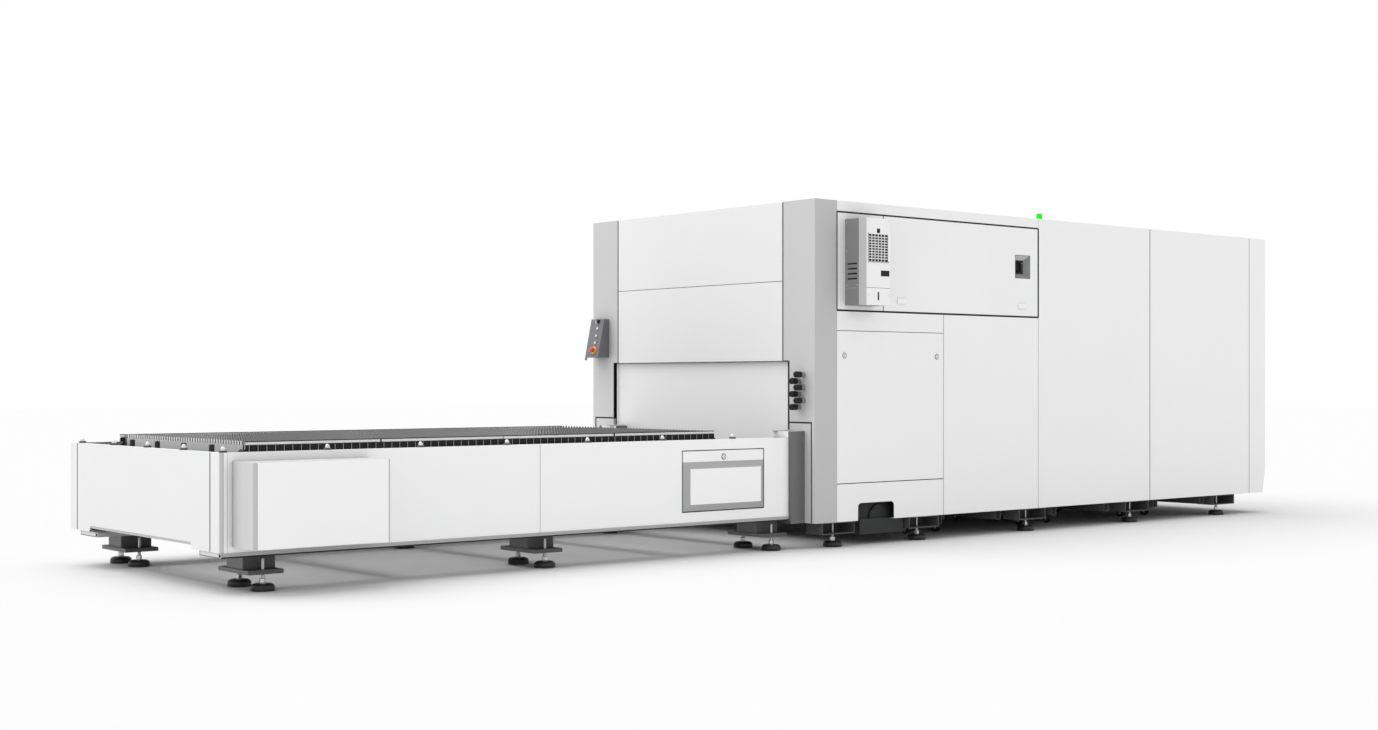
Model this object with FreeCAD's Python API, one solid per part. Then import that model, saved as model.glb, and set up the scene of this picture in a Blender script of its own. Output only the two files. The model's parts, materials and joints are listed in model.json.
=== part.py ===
import FreeCAD, Part
import math
import os

os.makedirs("parts", exist_ok=True)

# Laser sheet cutting hall with a pallet exchange table in front of its lift door.
# Working frame, in mm: X = 0 is the hall's end face with the lift door, the table lies at negative X.
# Y = 0 is the hall's long side with the electrical cabinet, Z = 0 is the floor.
# Every shape is moved at the end, so that the origin lies on the floor under the middle of the machine.

# ---- driving sizes: hall
hall_length = 5050.0
hall_width = 2310.0
hall_height = 2200.0
skirt = 160.0                 # floor to the lower edge of the covers
sheet = 3.0                   # thickness of folded covers
fold = 28.0                   # depth of their folded edges
seam = 3.0                    # gap between neighbouring covers
shadow_gap = 6.0              # wider gap round doors
end_gap = 10.0                # gap between the end covers and the corner pillars
door_fold = 26.0              # the doors' edges are folded back a little less than the covers'

pillar_side = 195.0
pillar_front = 289.0
pillar_wall = 4.0
hood_length = 230.0           # the hood that closes the hall's far end
side_seams = [1195.0, 2186.0, 3500.0, hall_length - hood_length]
notch_left = 384.0            # cut-out in the lower edge, over the bed's pedestal
notch_right = 717.0
notch_top = 273.0
notch_radius = 28.0

# lift door in the end face
lift_gap = 18.0
lift_low = 660.0
lift_high = 1180.0
lift_thickness = 25.0
lift_inset = 32.0             # from the end face to the door's outer face
pillar_step = 49.0            # the pillars are this much narrower beside the door
pillar_step_top = 1186.0
middle_seam_drop = 507.0      # from the hall's upper edge to the seam between the end covers
pillar_cover_edge = 31.0
pillar_cover_top = 793.0

# electrical cabinet with its cooling unit
cabinet_drop = 76.0           # from the hall's upper edge to the cabinet's
cabinet_height = 620.0
cabinet_right = 2181.0
cabinet_split = 618.0
cabinet_depth = 370.0
cabinet_lip = 12.0            # edges over and under the cabinet's doorway
plate_height = 510.0          # mounting plate inside the cabinet
plate_inset = 82.0
cooler_left = 267.0
cooler_width = 250.0
cooler_drop = 40.0            # from the cabinet's upper edge
cooler_height = 548.0
cooler_reach = 123.0          # from the cover to the start of the front's bevel
cooler_front = 50.0           # depth of the bevelled front
cooler_bevel = 18.0
grille_columns = 6
grille_rows = 10
grille_width = 174.0
grille_height = 171.0
grille_drop = 101.0           # from the cooling unit's upper edge
grille_lap = 6.0              # the bars reach this far behind the opening's edges
bar_width = 9.0
bar_thickness = 1.5
isolator_size = 163.0
isolator_x = 2014.5
isolator_drop = 271.0         # from the cabinet's upper edge to the isolator's middle
isolator_depth = 38.0
isolator_radius = 36.0
latch_width = 86.0
latch_height = 36.0
latch_rise = 74.0             # from the cabinet's lower edge
latch_inset = 170.0           # from the cabinet door's side edges to the middle of a latch

# access door
access_low = 402.0
access_gap = 129.0            # from the door's upper edge to the cabinet
lock_drop = 158.0
lock_inset = 66.0
lock_radius = 15.0
shaft_radius = 8.0
shaft_clearance = 1.6         # round the eight-sided shafts, so that their corners can turn

# operator's control box on the far pillar
box_y_low = 2119.0
box_y_high = 2272.0
box_top = 1500.0
box_low = 1224.0
box_top_depth = 42.0
box_slope = 11.87             # degrees that the front leans back
button_radius = 11.0
button_sides = 16             # knobs and buttons are turned with this many flats
button_drops = [71.0, 124.0, 176.0]
key_drop = 18.0
stop_drop = 230.0
stop_radius = 20.0
control_y = 2177.0

# signal lamp on the roof
lamp_x = 2443.0
lamp_y = 200.0
lamp_radius = 22.0
lamp_foot = 22.0
lamp_height = 66.0

# operator's sliding door on the far side
operator_left = 1100.0
operator_right = 2300.0
operator_low = 200.0
operator_drop = 300.0         # from the hall's upper edge to the doorway's
operator_inset = 40.0         # from the hall's far face to the door's outer face
operator_lap = 10.0
window_width = 500.0
window_height = 500.0
window_drop = 500.0           # from the doorway's upper edge to the window's middle

# under-structure
first_station = 70.0
station_middles = [-0.2475, 1.5974, 3.6023, 5.4687]    # from the first cross tube, in tube pitches
station_length = 288.0
station_depth = 145.0
station_height = 76.0
channel_wall = 6.0
foot_inset = 80.0             # hall feet, from the long side
foot_leads = [162.0, 150.0, 156.0, 151.0, 150.0]    # from each station's start to its foot
cross_tube_first = 1160.0
cross_tube_last = hall_length - 860.0    # the laser source starts here too
cross_tube_count = 6
cross_tube_width = 50.0
cross_tube_low = 97.0
sill_height = 84.0
post_size = 50.0
post_positions = [100.0, 2372.0, 3584.0, hall_length - 490.0]
cabinet_post_lap = 25.0       # the shorter post that carries the cabinet starts this far before the seam
far_post_inset = 135.0        # far posts stand inside the sliding door's way
top_tube_height = 25.0
roof_step = 22.0              # the roof lies this much lower than the covers' upper edges
end_beam = hall_length - 150.0    # last cross member, which carries the end hood

# levelling feet
pad_radius = 61.0
pad_top_radius = 46.0
pad_height = 38.0
stud_radius = 10.0
stud_gap = 1.0
pad_sides = 10

# laser source
source_length = 600.0
source_width = 860.0
source_height = 1290.0

# exchange table
table_start = -3920.0
table_end = -117.0
table_near = 115.0
table_far = 2093.0
table_low = 208.0
table_high = 702.0
post_width = 36.0
post_depth = 120.0
post_rounding = 25.0
table_seam = -2015.0
rail_strip = 25.0
far_rail_inset = 173.0        # from the far covers in to the far rail
rail_span = 244.0
end_stiffener = 14.0          # how far it shows under the end cover's raised edge
cover_start = -3861.0         # motor cover
cover_end = -3105.0
cover_low = 238.0
cover_high = 659.0
cover_reach = 245.0
cover_rounding = 25.0
flap_left = -982.0
flap_right = -329.0
flap_low = 272.0
flap_high = 637.0
flap_gap = 3.0
flap_strip = 65.0             # plain strip over the raised field
flap_raise = 24.0
flap_bevel = 40.0
flap_fold = 20.0
end_notch_height = 34.0
end_notch_slope = 20.0
frame_inset = 60.0            # the table's outer posts, from the ends of its covers
frame_post = 80.0
cross_places = [180.0, 1020.0, 2020.0, 2920.0, 3660.0]
gearbox_start = 300.0         # from the table's end
gearbox_size = 160.0
motor_length = 350.0
bracket_places = [(-3652.0, 205.0), (-1917.0, 210.0), (-243.0, 140.0)]
bracket_foot_pitch = 262.0
bracket_width = 195.0
bracket_length = 340.0
bracket_plate = 22.0
bracket_plate_low = 85.0
ball_pitch_x = 552.0
ball_first = 594.0            # from the table's end to the first unit on its side
balls_along = 6
ball_pitch_y = 453.0
balls_across = 5
ball_radius = 22.0
ball_top = 9.0
ball_height = 31.0
buffer_first = 231.0          # from the near cover to the first rubber stop
buffer_pitch = 330.0
buffer_count = 4
buffer_radius = 14.0
buffer_rise = 34.0

# pallets
pallet_start = -3745.0
pallet_end = -549.0
pallet_near = 285.0
pallet_far = 1885.0
pallet_top = 744.0            # upper pallet, top of its side strips
pallet_height = 144.0
pallet_drop = 190.0           # the lower pallet runs this much lower
pallet_parked = 458.0         # where the lower pallet starts inside the hall
pallet_tube = 60.0
slat_count = 22
slat_thickness = 4.0
slat_teeth = 8
tooth_depth = 22.0
slat_proud = 6.0              # the tips stand this far over the side strips
slat_depth = 100.0
strip_height = 13.0
strip_count = 4
cap_size = 37.0               # wedge caps at the pallet's corners
shoe_height = 12.0
rail_width = 43.0
rail_height = 25.0
slide_gap = 0.4

# bed and gantry
bed_start = 70.0
bed_end = hall_length - 950.0
bed_cross_count = 4
bed_cross_width = 150.0
bed_cross_inset = 230.0       # from the bed's ends to its first and last cross members
bed_wall = 12.0
bed_beam_width = 152.0
bed_high = 830.0
rail_size = 25.0
gantry_start = 690.0
gantry_width = 240.0
gantry_low = 880.0
gantry_height = 250.0
head_y = 345.0
nozzle_z = 800.0
carriage_width = 260.0

# trays on wheels under the bed
tray_tubes = [0, 2, 4]        # each tray stands beside one of the cross tubes
tray_width = 400.0
tray_near = 365.0
tray_length = 700.0
tray_low = 62.0
tray_high = 148.0
tray_wall = 3.0
wheel_radius = 38.0
wheel_width = 26.0
wheel_inset = 45.0
axle_radius = 8.0
wheel_sides = 10

# ---- sizes that follow
middle_seam = hall_height - middle_seam_drop
cabinet_high = hall_height - cabinet_drop
cabinet_low = cabinet_high - cabinet_height
cooler_high = cabinet_high - cooler_drop
cooler_low = cooler_high - cooler_height
isolator_z = cabinet_high - isolator_drop
latch_z = cabinet_low + latch_rise
access_high = cabinet_low - access_gap
lock_z = access_high - lock_drop
operator_high = hall_height - operator_drop
window_z = operator_high - window_drop
cabinet_post = side_seams[0] - cabinet_post_lap
cross_tube_pitch = (cross_tube_last - cross_tube_first) / (cross_tube_count - 1)
station_starts = [first_station]
station_starts += [cross_tube_first + cross_tube_pitch * middle - station_length / 2
                   for middle in station_middles]
hall_feet = [start + lead for start, lead in zip(station_starts, foot_leads)]
hall_middle = hall_width / 2
table_middle = (table_near + table_far) / 2
pallet_length = pallet_end - pallet_start
pallet_middle = (pallet_near + pallet_far) / 2
pillar_front_low = pillar_front - pillar_step
lift_near = pillar_front_low + lift_gap + sheet
lift_far = hall_width - lift_near
bed_near = pallet_near - 23.0 - bed_beam_width
rail_near = bed_near + bed_beam_width
sill_top = skirt + sill_height
cooler_right = cooler_left + cooler_width
reach_low_y = -(cooler_reach + cooler_front)
roof_top = hall_height - roof_step
top_tube_high = roof_top - fold
top_tube_low = top_tube_high - top_tube_height
origin_x = (table_start + hall_length) / 2
origin_y = (reach_low_y + hall_width) / 2
slope_angle = math.radians(box_slope)


def vec(x, y, z):
    return FreeCAD.Vector(x, y, z)


def box(x0, x1, y0, y1, z0, z1):
    return Part.makeBox(x1 - x0, y1 - y0, z1 - z0, vec(x0, y0, z0))


def rod(x, y, z, radius, length, direction):
    return Part.makeCylinder(radius, length, vec(x, y, z), direction)


def prism(points, direction):
    """A straight prism over a closed outline of corner points."""
    outline = Part.makePolygon(points + [points[0]])
    return Part.Face(outline).extrude(direction)


def ring_points(centre, radius, sides, direction):
    """Corners of a regular outline around an axis that runs along X, Y or Z."""
    points = []
    for step in range(sides):
        angle = 2 * math.pi * (step + 0.5) / sides
        a, b = radius * math.cos(angle), radius * math.sin(angle)
        if direction.x:
            offset = vec(0, a, b)
        elif direction.y:
            offset = vec(a, 0, b)
        else:
            offset = vec(a, b, 0)
        points.append(centre + offset)
    return points


def flats(x, y, z, radius, length, direction, sides=8):
    """A bar with flats, for nuts and for small round pieces that are repeated often."""
    points = ring_points(vec(x, y, z), radius, sides, direction)
    return prism(points, direction * length)


def taper(low, high):
    """A closed body between two outlines with as many corners each, made of flat faces."""
    faces = [Part.Face(Part.makePolygon(low + low[:1])), Part.Face(Part.makePolygon(high + high[:1]))]
    for number in range(len(low)):
        after = (number + 1) % len(low)
        side = [low[number], low[after], high[after], high[number]]
        faces.append(Part.Face(Part.makePolygon(side + side[:1])))
    return Part.makeSolid(Part.makeShell(faces))


def mirrored(shape, middle):
    """The same piece on the other side of the plane Y = middle."""
    return shape.mirror(vec(0, middle, 0), vec(0, 1, 0))


def pan(x0, x1, y0, y1, z0, z1, opening):
    """A folded cover: a skin with edges turned back, open towards the given side."""
    hollow = [x0 + sheet, x1 - sheet, y0 + sheet, y1 - sheet, z0 + sheet, z1 - sheet]
    side = {"-x": 0, "+x": 1, "-y": 2, "+y": 3, "-z": 4, "+z": 5}[opening]
    hollow[side] += -2 * sheet if side % 2 == 0 else 2 * sheet
    return box(x0, x1, y0, y1, z0, z1).cut(box(*hollow))


def tube(x0, x1, y0, y1, z0, z1, wall, along):
    """A rectangular tube, open at both ends along the given axis."""
    hollow = [x0 + wall, x1 - wall, y0 + wall, y1 - wall, z0 + wall, z1 - wall]
    first = {"x": 0, "y": 2, "z": 4}[along]
    hollow[first] -= 2 * wall
    hollow[first + 1] += 2 * wall
    return box(x0, x1, y0, y1, z0, z1).cut(box(*hollow))


def rounded(shape, radius, chosen):
    """Rounds the straight edges for which chosen(middle, direction) holds."""
    edges = []
    for edge in shape.Edges:
        ends = edge.Vertexes[-1].Point - edge.Vertexes[0].Point
        if chosen(edge.CenterOfMass, ends):
            edges.append(edge)
    return shape.makeFillet(radius, edges)


def upright(direction):
    return abs(direction.z) > 0.9 * direction.Length


def save(name, solids):
    shape = Part.makeCompound(solids)
    shape.translate(vec(-origin_x, -origin_y, 0))
    shape.exportStep("parts/" + name + ".step")


# ---- hall: pillars and covers
def corner_pillar():
    column = tube(0, pillar_side, 0, pillar_front, skirt, hall_height, pillar_wall, "z")
    open_back = box(fold, pillar_side + 1, fold, pillar_front + 1, skirt - 1, hall_height + 1)
    column = column.cut(open_back)
    beside_door = box(-1, fold + 1, pillar_front_low, pillar_front + 1, skirt - 1, pillar_step_top)
    column = column.cut(beside_door)
    cover_window = box(-1, fold + 1, pillar_cover_edge, pillar_front_low + 1, skirt - 1, pillar_cover_top)
    return column.cut(cover_window)


def pillar_cover():
    return pan(0, fold, pillar_cover_edge + shadow_gap, pillar_front_low,
               skirt, pillar_cover_top - shadow_gap, "+x")


def make_pillars():
    near = [corner_pillar(), pillar_cover()]
    return near + [mirrored(piece, hall_middle) for piece in near]


def make_end_covers():
    near = pillar_front + end_gap
    far = hall_width - near
    upper = pan(0, fold, near, far, middle_seam + seam / 2, hall_height, "+x")
    middle = pan(0, fold, near, far, lift_high + seam, middle_seam - seam / 2, "+x")
    return [upper, middle]


def end_notch():
    """The cut-out with round upper corners in the lowest cover."""
    cut = box(notch_left, notch_right, -1, fold + 1, skirt - 1, notch_top)
    return rounded(cut, notch_radius, lambda at, way: abs(way.y) > fold and at.z > notch_top - 1)


def make_side_covers():
    first = pillar_side + seam / 2
    half = seam / 2
    covers = []
    covers.append(pan(first, side_seams[1] - half, 0, fold, cabinet_high + shadow_gap, hall_height, "+y"))
    covers.append(pan(first, side_seams[0] - half, 0, fold, access_high + half, cabinet_low - half, "+y"))
    low_cover = pan(first, side_seams[0] - half, 0, fold, skirt, access_low - half, "+y")
    covers.append(low_cover.cut(end_notch()))
    covers.append(pan(side_seams[0] + half, side_seams[1] - half, 0, fold, skirt, cabinet_low - half, "+y"))
    for left, right in zip(side_seams[1:-1], side_seams[2:]):
        covers.append(pan(left + half, right - half, 0, fold, skirt, hall_height, "+y"))
    cabinet_side = pan(pillar_side + shadow_gap, cabinet_split - half, 0, fold,
                       cabinet_low + shadow_gap, cabinet_high, "+y")
    cooler_hole = box(cooler_left + 13, cooler_right - 13, -1, fold + 1, cooler_low + 24, cooler_high - 24)
    covers.append(cabinet_side.cut(cooler_hole))
    return covers


def make_operator_covers():
    half = seam / 2
    low, high = hall_width - fold, hall_width
    covers = [pan(pillar_side + half, operator_left - half, low, high, skirt, hall_height, "-y")]
    for bottom, top in ((skirt, operator_low - half), (operator_high + half, hall_height)):
        covers.append(pan(operator_left + half, operator_right - half, low, high, bottom, top, "-y"))
    edges = [operator_right] + side_seams[2:]
    for left, right in zip(edges[:-1], edges[1:]):
        covers.append(pan(left + half, right - half, low, high, skirt, hall_height, "-y"))
    return covers


def make_far_end():
    """One folded hood over the last stretch; its end face leans inwards near the floor."""
    start = side_seams[-1] + 4
    lean_start = skirt + 187
    lean = 35.0
    profile = [(start, skirt), (hall_length - lean, skirt), (hall_length, lean_start),
               (hall_length, hall_height), (start, hall_height)]
    outer = prism([vec(x, 0, z) for x, z in profile], vec(0, hall_width, 0))
    inner_profile = [(start - 1, skirt - 1), (hall_length - lean - sheet, skirt - 1),
                     (hall_length - lean - sheet, skirt), (hall_length - sheet, lean_start),
                     (hall_length - sheet, hall_height - sheet), (start - 1, hall_height - sheet)]
    inner = prism([vec(x, sheet, z) for x, z in inner_profile], vec(0, hall_width - 2 * sheet, 0))
    return [outer.cut(inner)]


def make_roof():
    edges = [60.0] + side_seams[1:-1] + [side_seams[-1] - 6]
    covers = []
    for left, right in zip(edges[:-1], edges[1:]):
        covers.append(pan(left + seam / 2, right - seam / 2, fold, hall_width - fold,
                          roof_top - fold, roof_top, "-z"))
    return covers


# ---- hall: cabinet
def make_cabinet_shell():
    """Cabinet of plates, open in front behind its door and behind the cooling unit."""
    left, right = pillar_side + shadow_gap, cabinet_right - 2
    near, far = fold, fold + cabinet_depth
    low, high = cabinet_low + 2, top_tube_low
    inner = near + sheet
    split = cabinet_split + 20
    front = box(left, split, near, inner, low, high)
    cooler_opening = box(cooler_left + 13, cooler_right - 13, near - 1, inner + 1,
                         cooler_low + 24, cooler_high - 24)
    plates = [front.cut(cooler_opening), box(left, right, far - sheet, far, low, high)]
    for x in (left, right - sheet):
        plates.append(box(x, x + sheet, inner, far - sheet, low, high))
    for z in (low, high - sheet):
        plates.append(box(left + sheet, right - sheet, inner, far - sheet, z, z + sheet))
    for z in (low, high - cabinet_lip):
        plates.append(box(split, right, near, inner, z, z + cabinet_lip))
    plates.append(box(right - 20, right, near, inner, low + cabinet_lip, high - cabinet_lip))
    return plates


def make_cabinet_modules():
    """Mounting plate with cable ducts, drives and rail-mounted devices."""
    back = fold + cabinet_depth - sheet
    face = back - 12
    left = cabinet_split + plate_inset
    right = cabinet_right - plate_inset
    plate = pan(left, right, face, back, cabinet_low + 56, cabinet_low + 56 + plate_height, "+y")
    low = cabinet_low + 56
    middle = low + 210
    high = low + plate_height - 50
    ducts = [box(left + 20, right - 20, face - 60, face, z, z + 40)
             for z in (low + 20, middle + 20, high)]
    drives = [box(left + 40 + 120 * k, left + 135 + 120 * k, face - 200, face, middle + 70, high - 15)
              for k in range(5)]
    breakers = [box(left + 680 + 216 * k, left + 880 + 216 * k, face - 75, face, middle + 90, middle + 180)
                for k in range(3)]
    supplies = [box(left + 40 + 160 * k, left + 160 + 160 * k, face - 130, face, low + 80, middle)
                for k in range(3)]
    relays = [box(left + 560 + 180 * k, left + 725 + 180 * k, face - 90, face, low + 90, middle - 30)
              for k in range(4)]
    return [plate] + ducts + drives + breakers + supplies + relays


def make_cabinet_door():
    left, right = cabinet_split + seam / 2, cabinet_right - 3
    door = pan(left, right, 0, door_fold, cabinet_low + shadow_gap, cabinet_high, "+y")
    half = isolator_size / 2
    door = door.cut(box(isolator_x - half, isolator_x + half, -1, fold,
                        isolator_z - half, isolator_z + half))
    for x in (left + latch_inset, right - latch_inset):
        door = door.cut(flats(x, -1, latch_z, shaft_radius + shaft_clearance, sheet + 2, vec(0, 1, 0)))
    return [door]


def square_corners(half, y):
    return [vec(isolator_x + half * a, y, isolator_z + half * b)
            for a, b in ((-1, -1), (1, -1), (1, 1), (-1, 1))]


def make_isolator_cup():
    """Square cup with leaning walls, sunk into the cabinet door."""
    half = isolator_size / 2 - 0.2
    body = box(isolator_x - half, isolator_x + half, 0, isolator_depth + 4,
               isolator_z - half, isolator_z + half)
    pocket = taper(square_corners(half - 3, -0.01), square_corners(isolator_radius + 12, isolator_depth))
    shaft_hole = flats(isolator_x, isolator_depth - 1, isolator_z, shaft_radius + shaft_clearance, 6,
                       vec(0, 1, 0))
    return [body.cut(pocket).cut(shaft_hole)]


def make_isolator_knob():
    front = isolator_depth - 0.4
    disc = flats(isolator_x, front, isolator_z, isolator_radius, 10, vec(0, -1, 0), button_sides)
    grip = box(isolator_x - 9, isolator_x + 9, front - 30, front - 10,
               isolator_z - isolator_radius + 3, isolator_z + isolator_radius - 3)
    shaft = flats(isolator_x, front - 1, isolator_z, shaft_radius, 14, vec(0, 1, 0))
    return [disc.fuse([grip, shaft])]


def make_latch(x):
    """Flat latch plate with a shaft through the door and a short cam behind it."""
    plate = box(x - latch_width / 2, x + latch_width / 2, -6.4, -0.4,
                latch_z - latch_height / 2, latch_z + latch_height / 2)
    shaft = flats(x, -1, latch_z, shaft_radius, fold + 9, vec(0, 1, 0))
    cam = box(x - 8, x + 8, fold + 6, fold + 9, latch_z - 45, latch_z + 8)
    return [plate.fuse([shaft, cam])]


def make_access_door():
    left, right = pillar_side + seam / 2, side_seams[0] - seam / 2
    door = pan(left, right, 0, door_fold, access_low + seam / 2, access_high - seam / 2, "+y")
    for x in (left + lock_inset, right - lock_inset):
        door = door.cut(flats(x, -1, lock_z, shaft_radius + shaft_clearance, sheet + 2, vec(0, 1, 0)))
    return [door]


def make_lock(x):
    """Round quarter-turn lock with a key slot, and its cam behind the door."""
    head = flats(x, -0.4, lock_z, lock_radius, 3, vec(0, -1, 0), button_sides)
    slot = box(x - 1.5, x + 1.5, -4, -1.8, lock_z - 8, lock_z + 8)
    shaft = flats(x, -1, lock_z, shaft_radius, fold + 9, vec(0, 1, 0))
    cam = box(x - 7, x + 7, fold + 5, fold + 8, lock_z - 8, lock_z + 38)
    return [head.cut(slot).fuse([shaft, cam])]


def make_cooler_housing():
    near = -cooler_reach
    shell = box(cooler_left, cooler_right, near, 0, cooler_low, cooler_high)
    shell = shell.cut(box(cooler_left + sheet, cooler_right - sheet, near - 1, -sheet,
                          cooler_low + sheet, cooler_high - sheet))
    for row in range(4):
        z = cooler_low + 167 + 31.7 * row
        shell = shell.cut(box(cooler_left - 1, cooler_left + sheet + 1, near + 17, near + 101, z - 5, z + 5))
    inner = tube(cooler_left + 15, cooler_right - 15, 0, fold + 110,
                 cooler_low + 26, cooler_high - 26, sheet, "y")
    return [shell.fuse(inner)]


def front_outline(start, grow, y_back):
    left, right = cooler_left + grow, cooler_right - grow
    front = reach_low_y + grow
    return [vec(left, y_back, start), vec(left + cooler_bevel, front, start),
            vec(right - cooler_bevel, front, start), vec(right, y_back, start)]


def make_cooler_front():
    height = cooler_high - cooler_low
    outer = prism(front_outline(cooler_low, 0, -cooler_reach - 0.1), vec(0, 0, height))
    inner = prism(front_outline(cooler_low + sheet, sheet, -cooler_reach + 1), vec(0, 0, height - 2 * sheet))
    front = outer.cut(inner)
    middle = (cooler_left + cooler_right) / 2
    left, right = middle - grille_width / 2, middle + grille_width / 2
    high = cooler_high - grille_drop
    low = high - grille_height
    face = reach_low_y
    front = front.cut(box(left, right, face - 1, face + sheet + 1, low, high))
    display = box(middle + 23, middle + 98, face - 1, face + 1.5, low - 92, low - 57)
    sensor = box(middle - 15, middle + 15, face - 1, face + 1.5, high + 8, high + 38)
    grip = box(middle - 7, middle + 7, face - 1, face + sheet + 1, cooler_low + 29, cooler_low + 84)
    grip = rounded(grip, 6.9, lambda at, way: abs(way.y) > 1)
    front = front.cut([display, sensor, grip])
    bars = []
    back = face + sheet
    for column in range(1, grille_columns):
        x = left + grille_width / grille_columns * column
        bars.append(box(x - bar_width / 2, x + bar_width / 2, back, back + bar_thickness,
                        low - grille_lap, high + grille_lap))
    back += bar_thickness
    for row in range(1, grille_rows):
        z = low + grille_height / grille_rows * row
        bars.append(box(left - grille_lap, right + grille_lap, back, back + bar_thickness,
                        z - bar_width / 2, z + bar_width / 2))
    return [front] + bars


# ---- hall: control box
def lean(shape):
    """Turns a piece drawn against an upright plate onto the box's leaning front."""
    shape.rotate(vec(0, 0, 0), vec(0, 1, 0), box_slope)
    shape.translate(vec(-box_top_depth, 0, box_top))
    return shape


def make_control_box():
    drop = box_top - box_low
    deep = box_top_depth + drop * math.tan(slope_angle)
    back = 0
    profile = [(back, box_low), (-deep, box_low), (-box_top_depth, box_top), (back, box_top)]
    y0, y1 = box_y_low + 2, box_y_high - 2
    body = prism([vec(x, y0, z) for x, z in profile], vec(0, y1 - y0, 0))
    hollow_profile = [(back - sheet, box_low + sheet), (-deep - 20, box_low + sheet),
                      (-box_top_depth - 20, box_top - sheet), (back - sheet, box_top - sheet)]
    hollow = prism([vec(x, y0 + sheet, z) for x, z in hollow_profile], vec(0, y1 - y0 - 2 * sheet, 0))
    return [body.cut(hollow)]


def make_control_plate():
    length = (box_top - box_low) / math.cos(slope_angle)
    plate = box(-sheet - 0.1, -0.1, box_y_low, box_y_high, -length, 0)
    tab = box(-sheet - 0.1, -0.1, box_y_high - 27, box_y_high, -length - 20, -length)
    plate = plate.fuse(tab)
    holes = []
    hole_sizes = [(drop, button_radius) for drop in button_drops]
    hole_sizes += [(key_drop, shaft_radius), (stop_drop, shaft_radius)]
    for drop, radius in hole_sizes:
        holes.append(flats(-sheet - 1, control_y, -drop, radius + shaft_clearance, sheet + 3, vec(1, 0, 0)))
    collar = flats(-sheet - 0.1, control_y, -stop_drop, 29, 8, vec(-1, 0, 0))
    collar = collar.cut(flats(-20, control_y, -stop_drop, shaft_radius + shaft_clearance, 30, vec(1, 0, 0)))
    return [lean(plate.cut(holes)), lean(collar)]


def make_button(drop):
    return [lean(flats(-sheet - 8, control_y, -drop, button_radius, 20, vec(1, 0, 0), button_sides))]


def make_stop_button():
    stem = flats(-30, control_y, -stop_drop, shaft_radius, 46, vec(1, 0, 0))
    head = flats(-36, control_y, -stop_drop, stop_radius, 18, vec(1, 0, 0), button_sides)
    return [lean(stem.fuse(head))]


def make_key_switch():
    collar = flats(-sheet - 14, control_y, -key_drop, 13, 13.5, vec(1, 0, 0), button_sides)
    lever = box(-sheet - 30, -sheet - 14, control_y - 4, control_y + 4, -key_drop - 12, -key_drop + 12)
    stem = flats(-sheet - 2, control_y, -key_drop, shaft_radius, 18, vec(1, 0, 0))
    return [lean(collar.fuse([lever, stem]))]


def make_glands():
    """Two staggered columns of cable glands, pointing towards the table."""
    glands = []
    for number in range(6):
        y = 100.0 if number % 2 == 0 else 139.0
        z = 1096.0 - 41.0 * number
        nut = flats(0, y, z, 20, 14, vec(-1, 0, 0), 6)
        neck = flats(-14, y, z, 15, 16, vec(-1, 0, 0))
        dome = taper(ring_points(vec(-30, y, z), 19, 8, vec(1, 0, 0)),
                     ring_points(vec(-76, y, z), 11, 8, vec(1, 0, 0)))
        glands.append(nut.fuse([neck, dome]))
    return glands


def make_signal_lamp():
    up = vec(0, 0, 1)
    base = flats(lamp_x, lamp_y, roof_top, lamp_radius + 4, lamp_foot, up, 20)
    lens = flats(lamp_x, lamp_y, roof_top + lamp_foot, lamp_radius, lamp_height, up, 20)
    return [base.fuse(lens)]


# ---- hall: operator's door
def make_operator_door():
    outer = hall_width - operator_inset
    left, right = operator_left - operator_lap, operator_right + operator_lap
    low, high = operator_low - operator_lap, operator_high + operator_lap
    door = pan(left, right, outer - 30, outer, low, high, "-y")
    middle = (operator_left + operator_right) / 2
    window = box(middle - window_width / 2, middle + window_width / 2, outer - sheet - 1, outer + 1,
                 window_z - window_height / 2, window_z + window_height / 2)
    grip_x = operator_left + 45
    bar = box(grip_x - 9, grip_x + 9, outer + 24, outer + 34, 1000, 1250)
    feet = [box(grip_x - 9, grip_x + 9, outer - 0.5, outer + 25, z, z + 20) for z in (1010, 1220)]
    return [door.cut(window).fuse(feet + [bar])]


def make_door_window():
    outer = hall_width - operator_inset - sheet
    middle = (operator_left + operator_right) / 2
    half_w, half_h = window_width / 2 + 25, window_height / 2 + 25
    return [box(middle - half_w, middle + half_w, outer - 8.1, outer - 0.1,
                window_z - half_h, window_z + half_h)]


# ---- under-structure
def station(start, stop, near, far):
    """Channel that stands open towards the outside, with closed ends."""
    height = skirt - station_height
    body = box(start, stop, near, far, height, skirt)
    hollow = box(start + channel_wall, stop - channel_wall, near - 1, far - channel_wall,
                 height + channel_wall, skirt - channel_wall)
    return body.cut(hollow)


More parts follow.
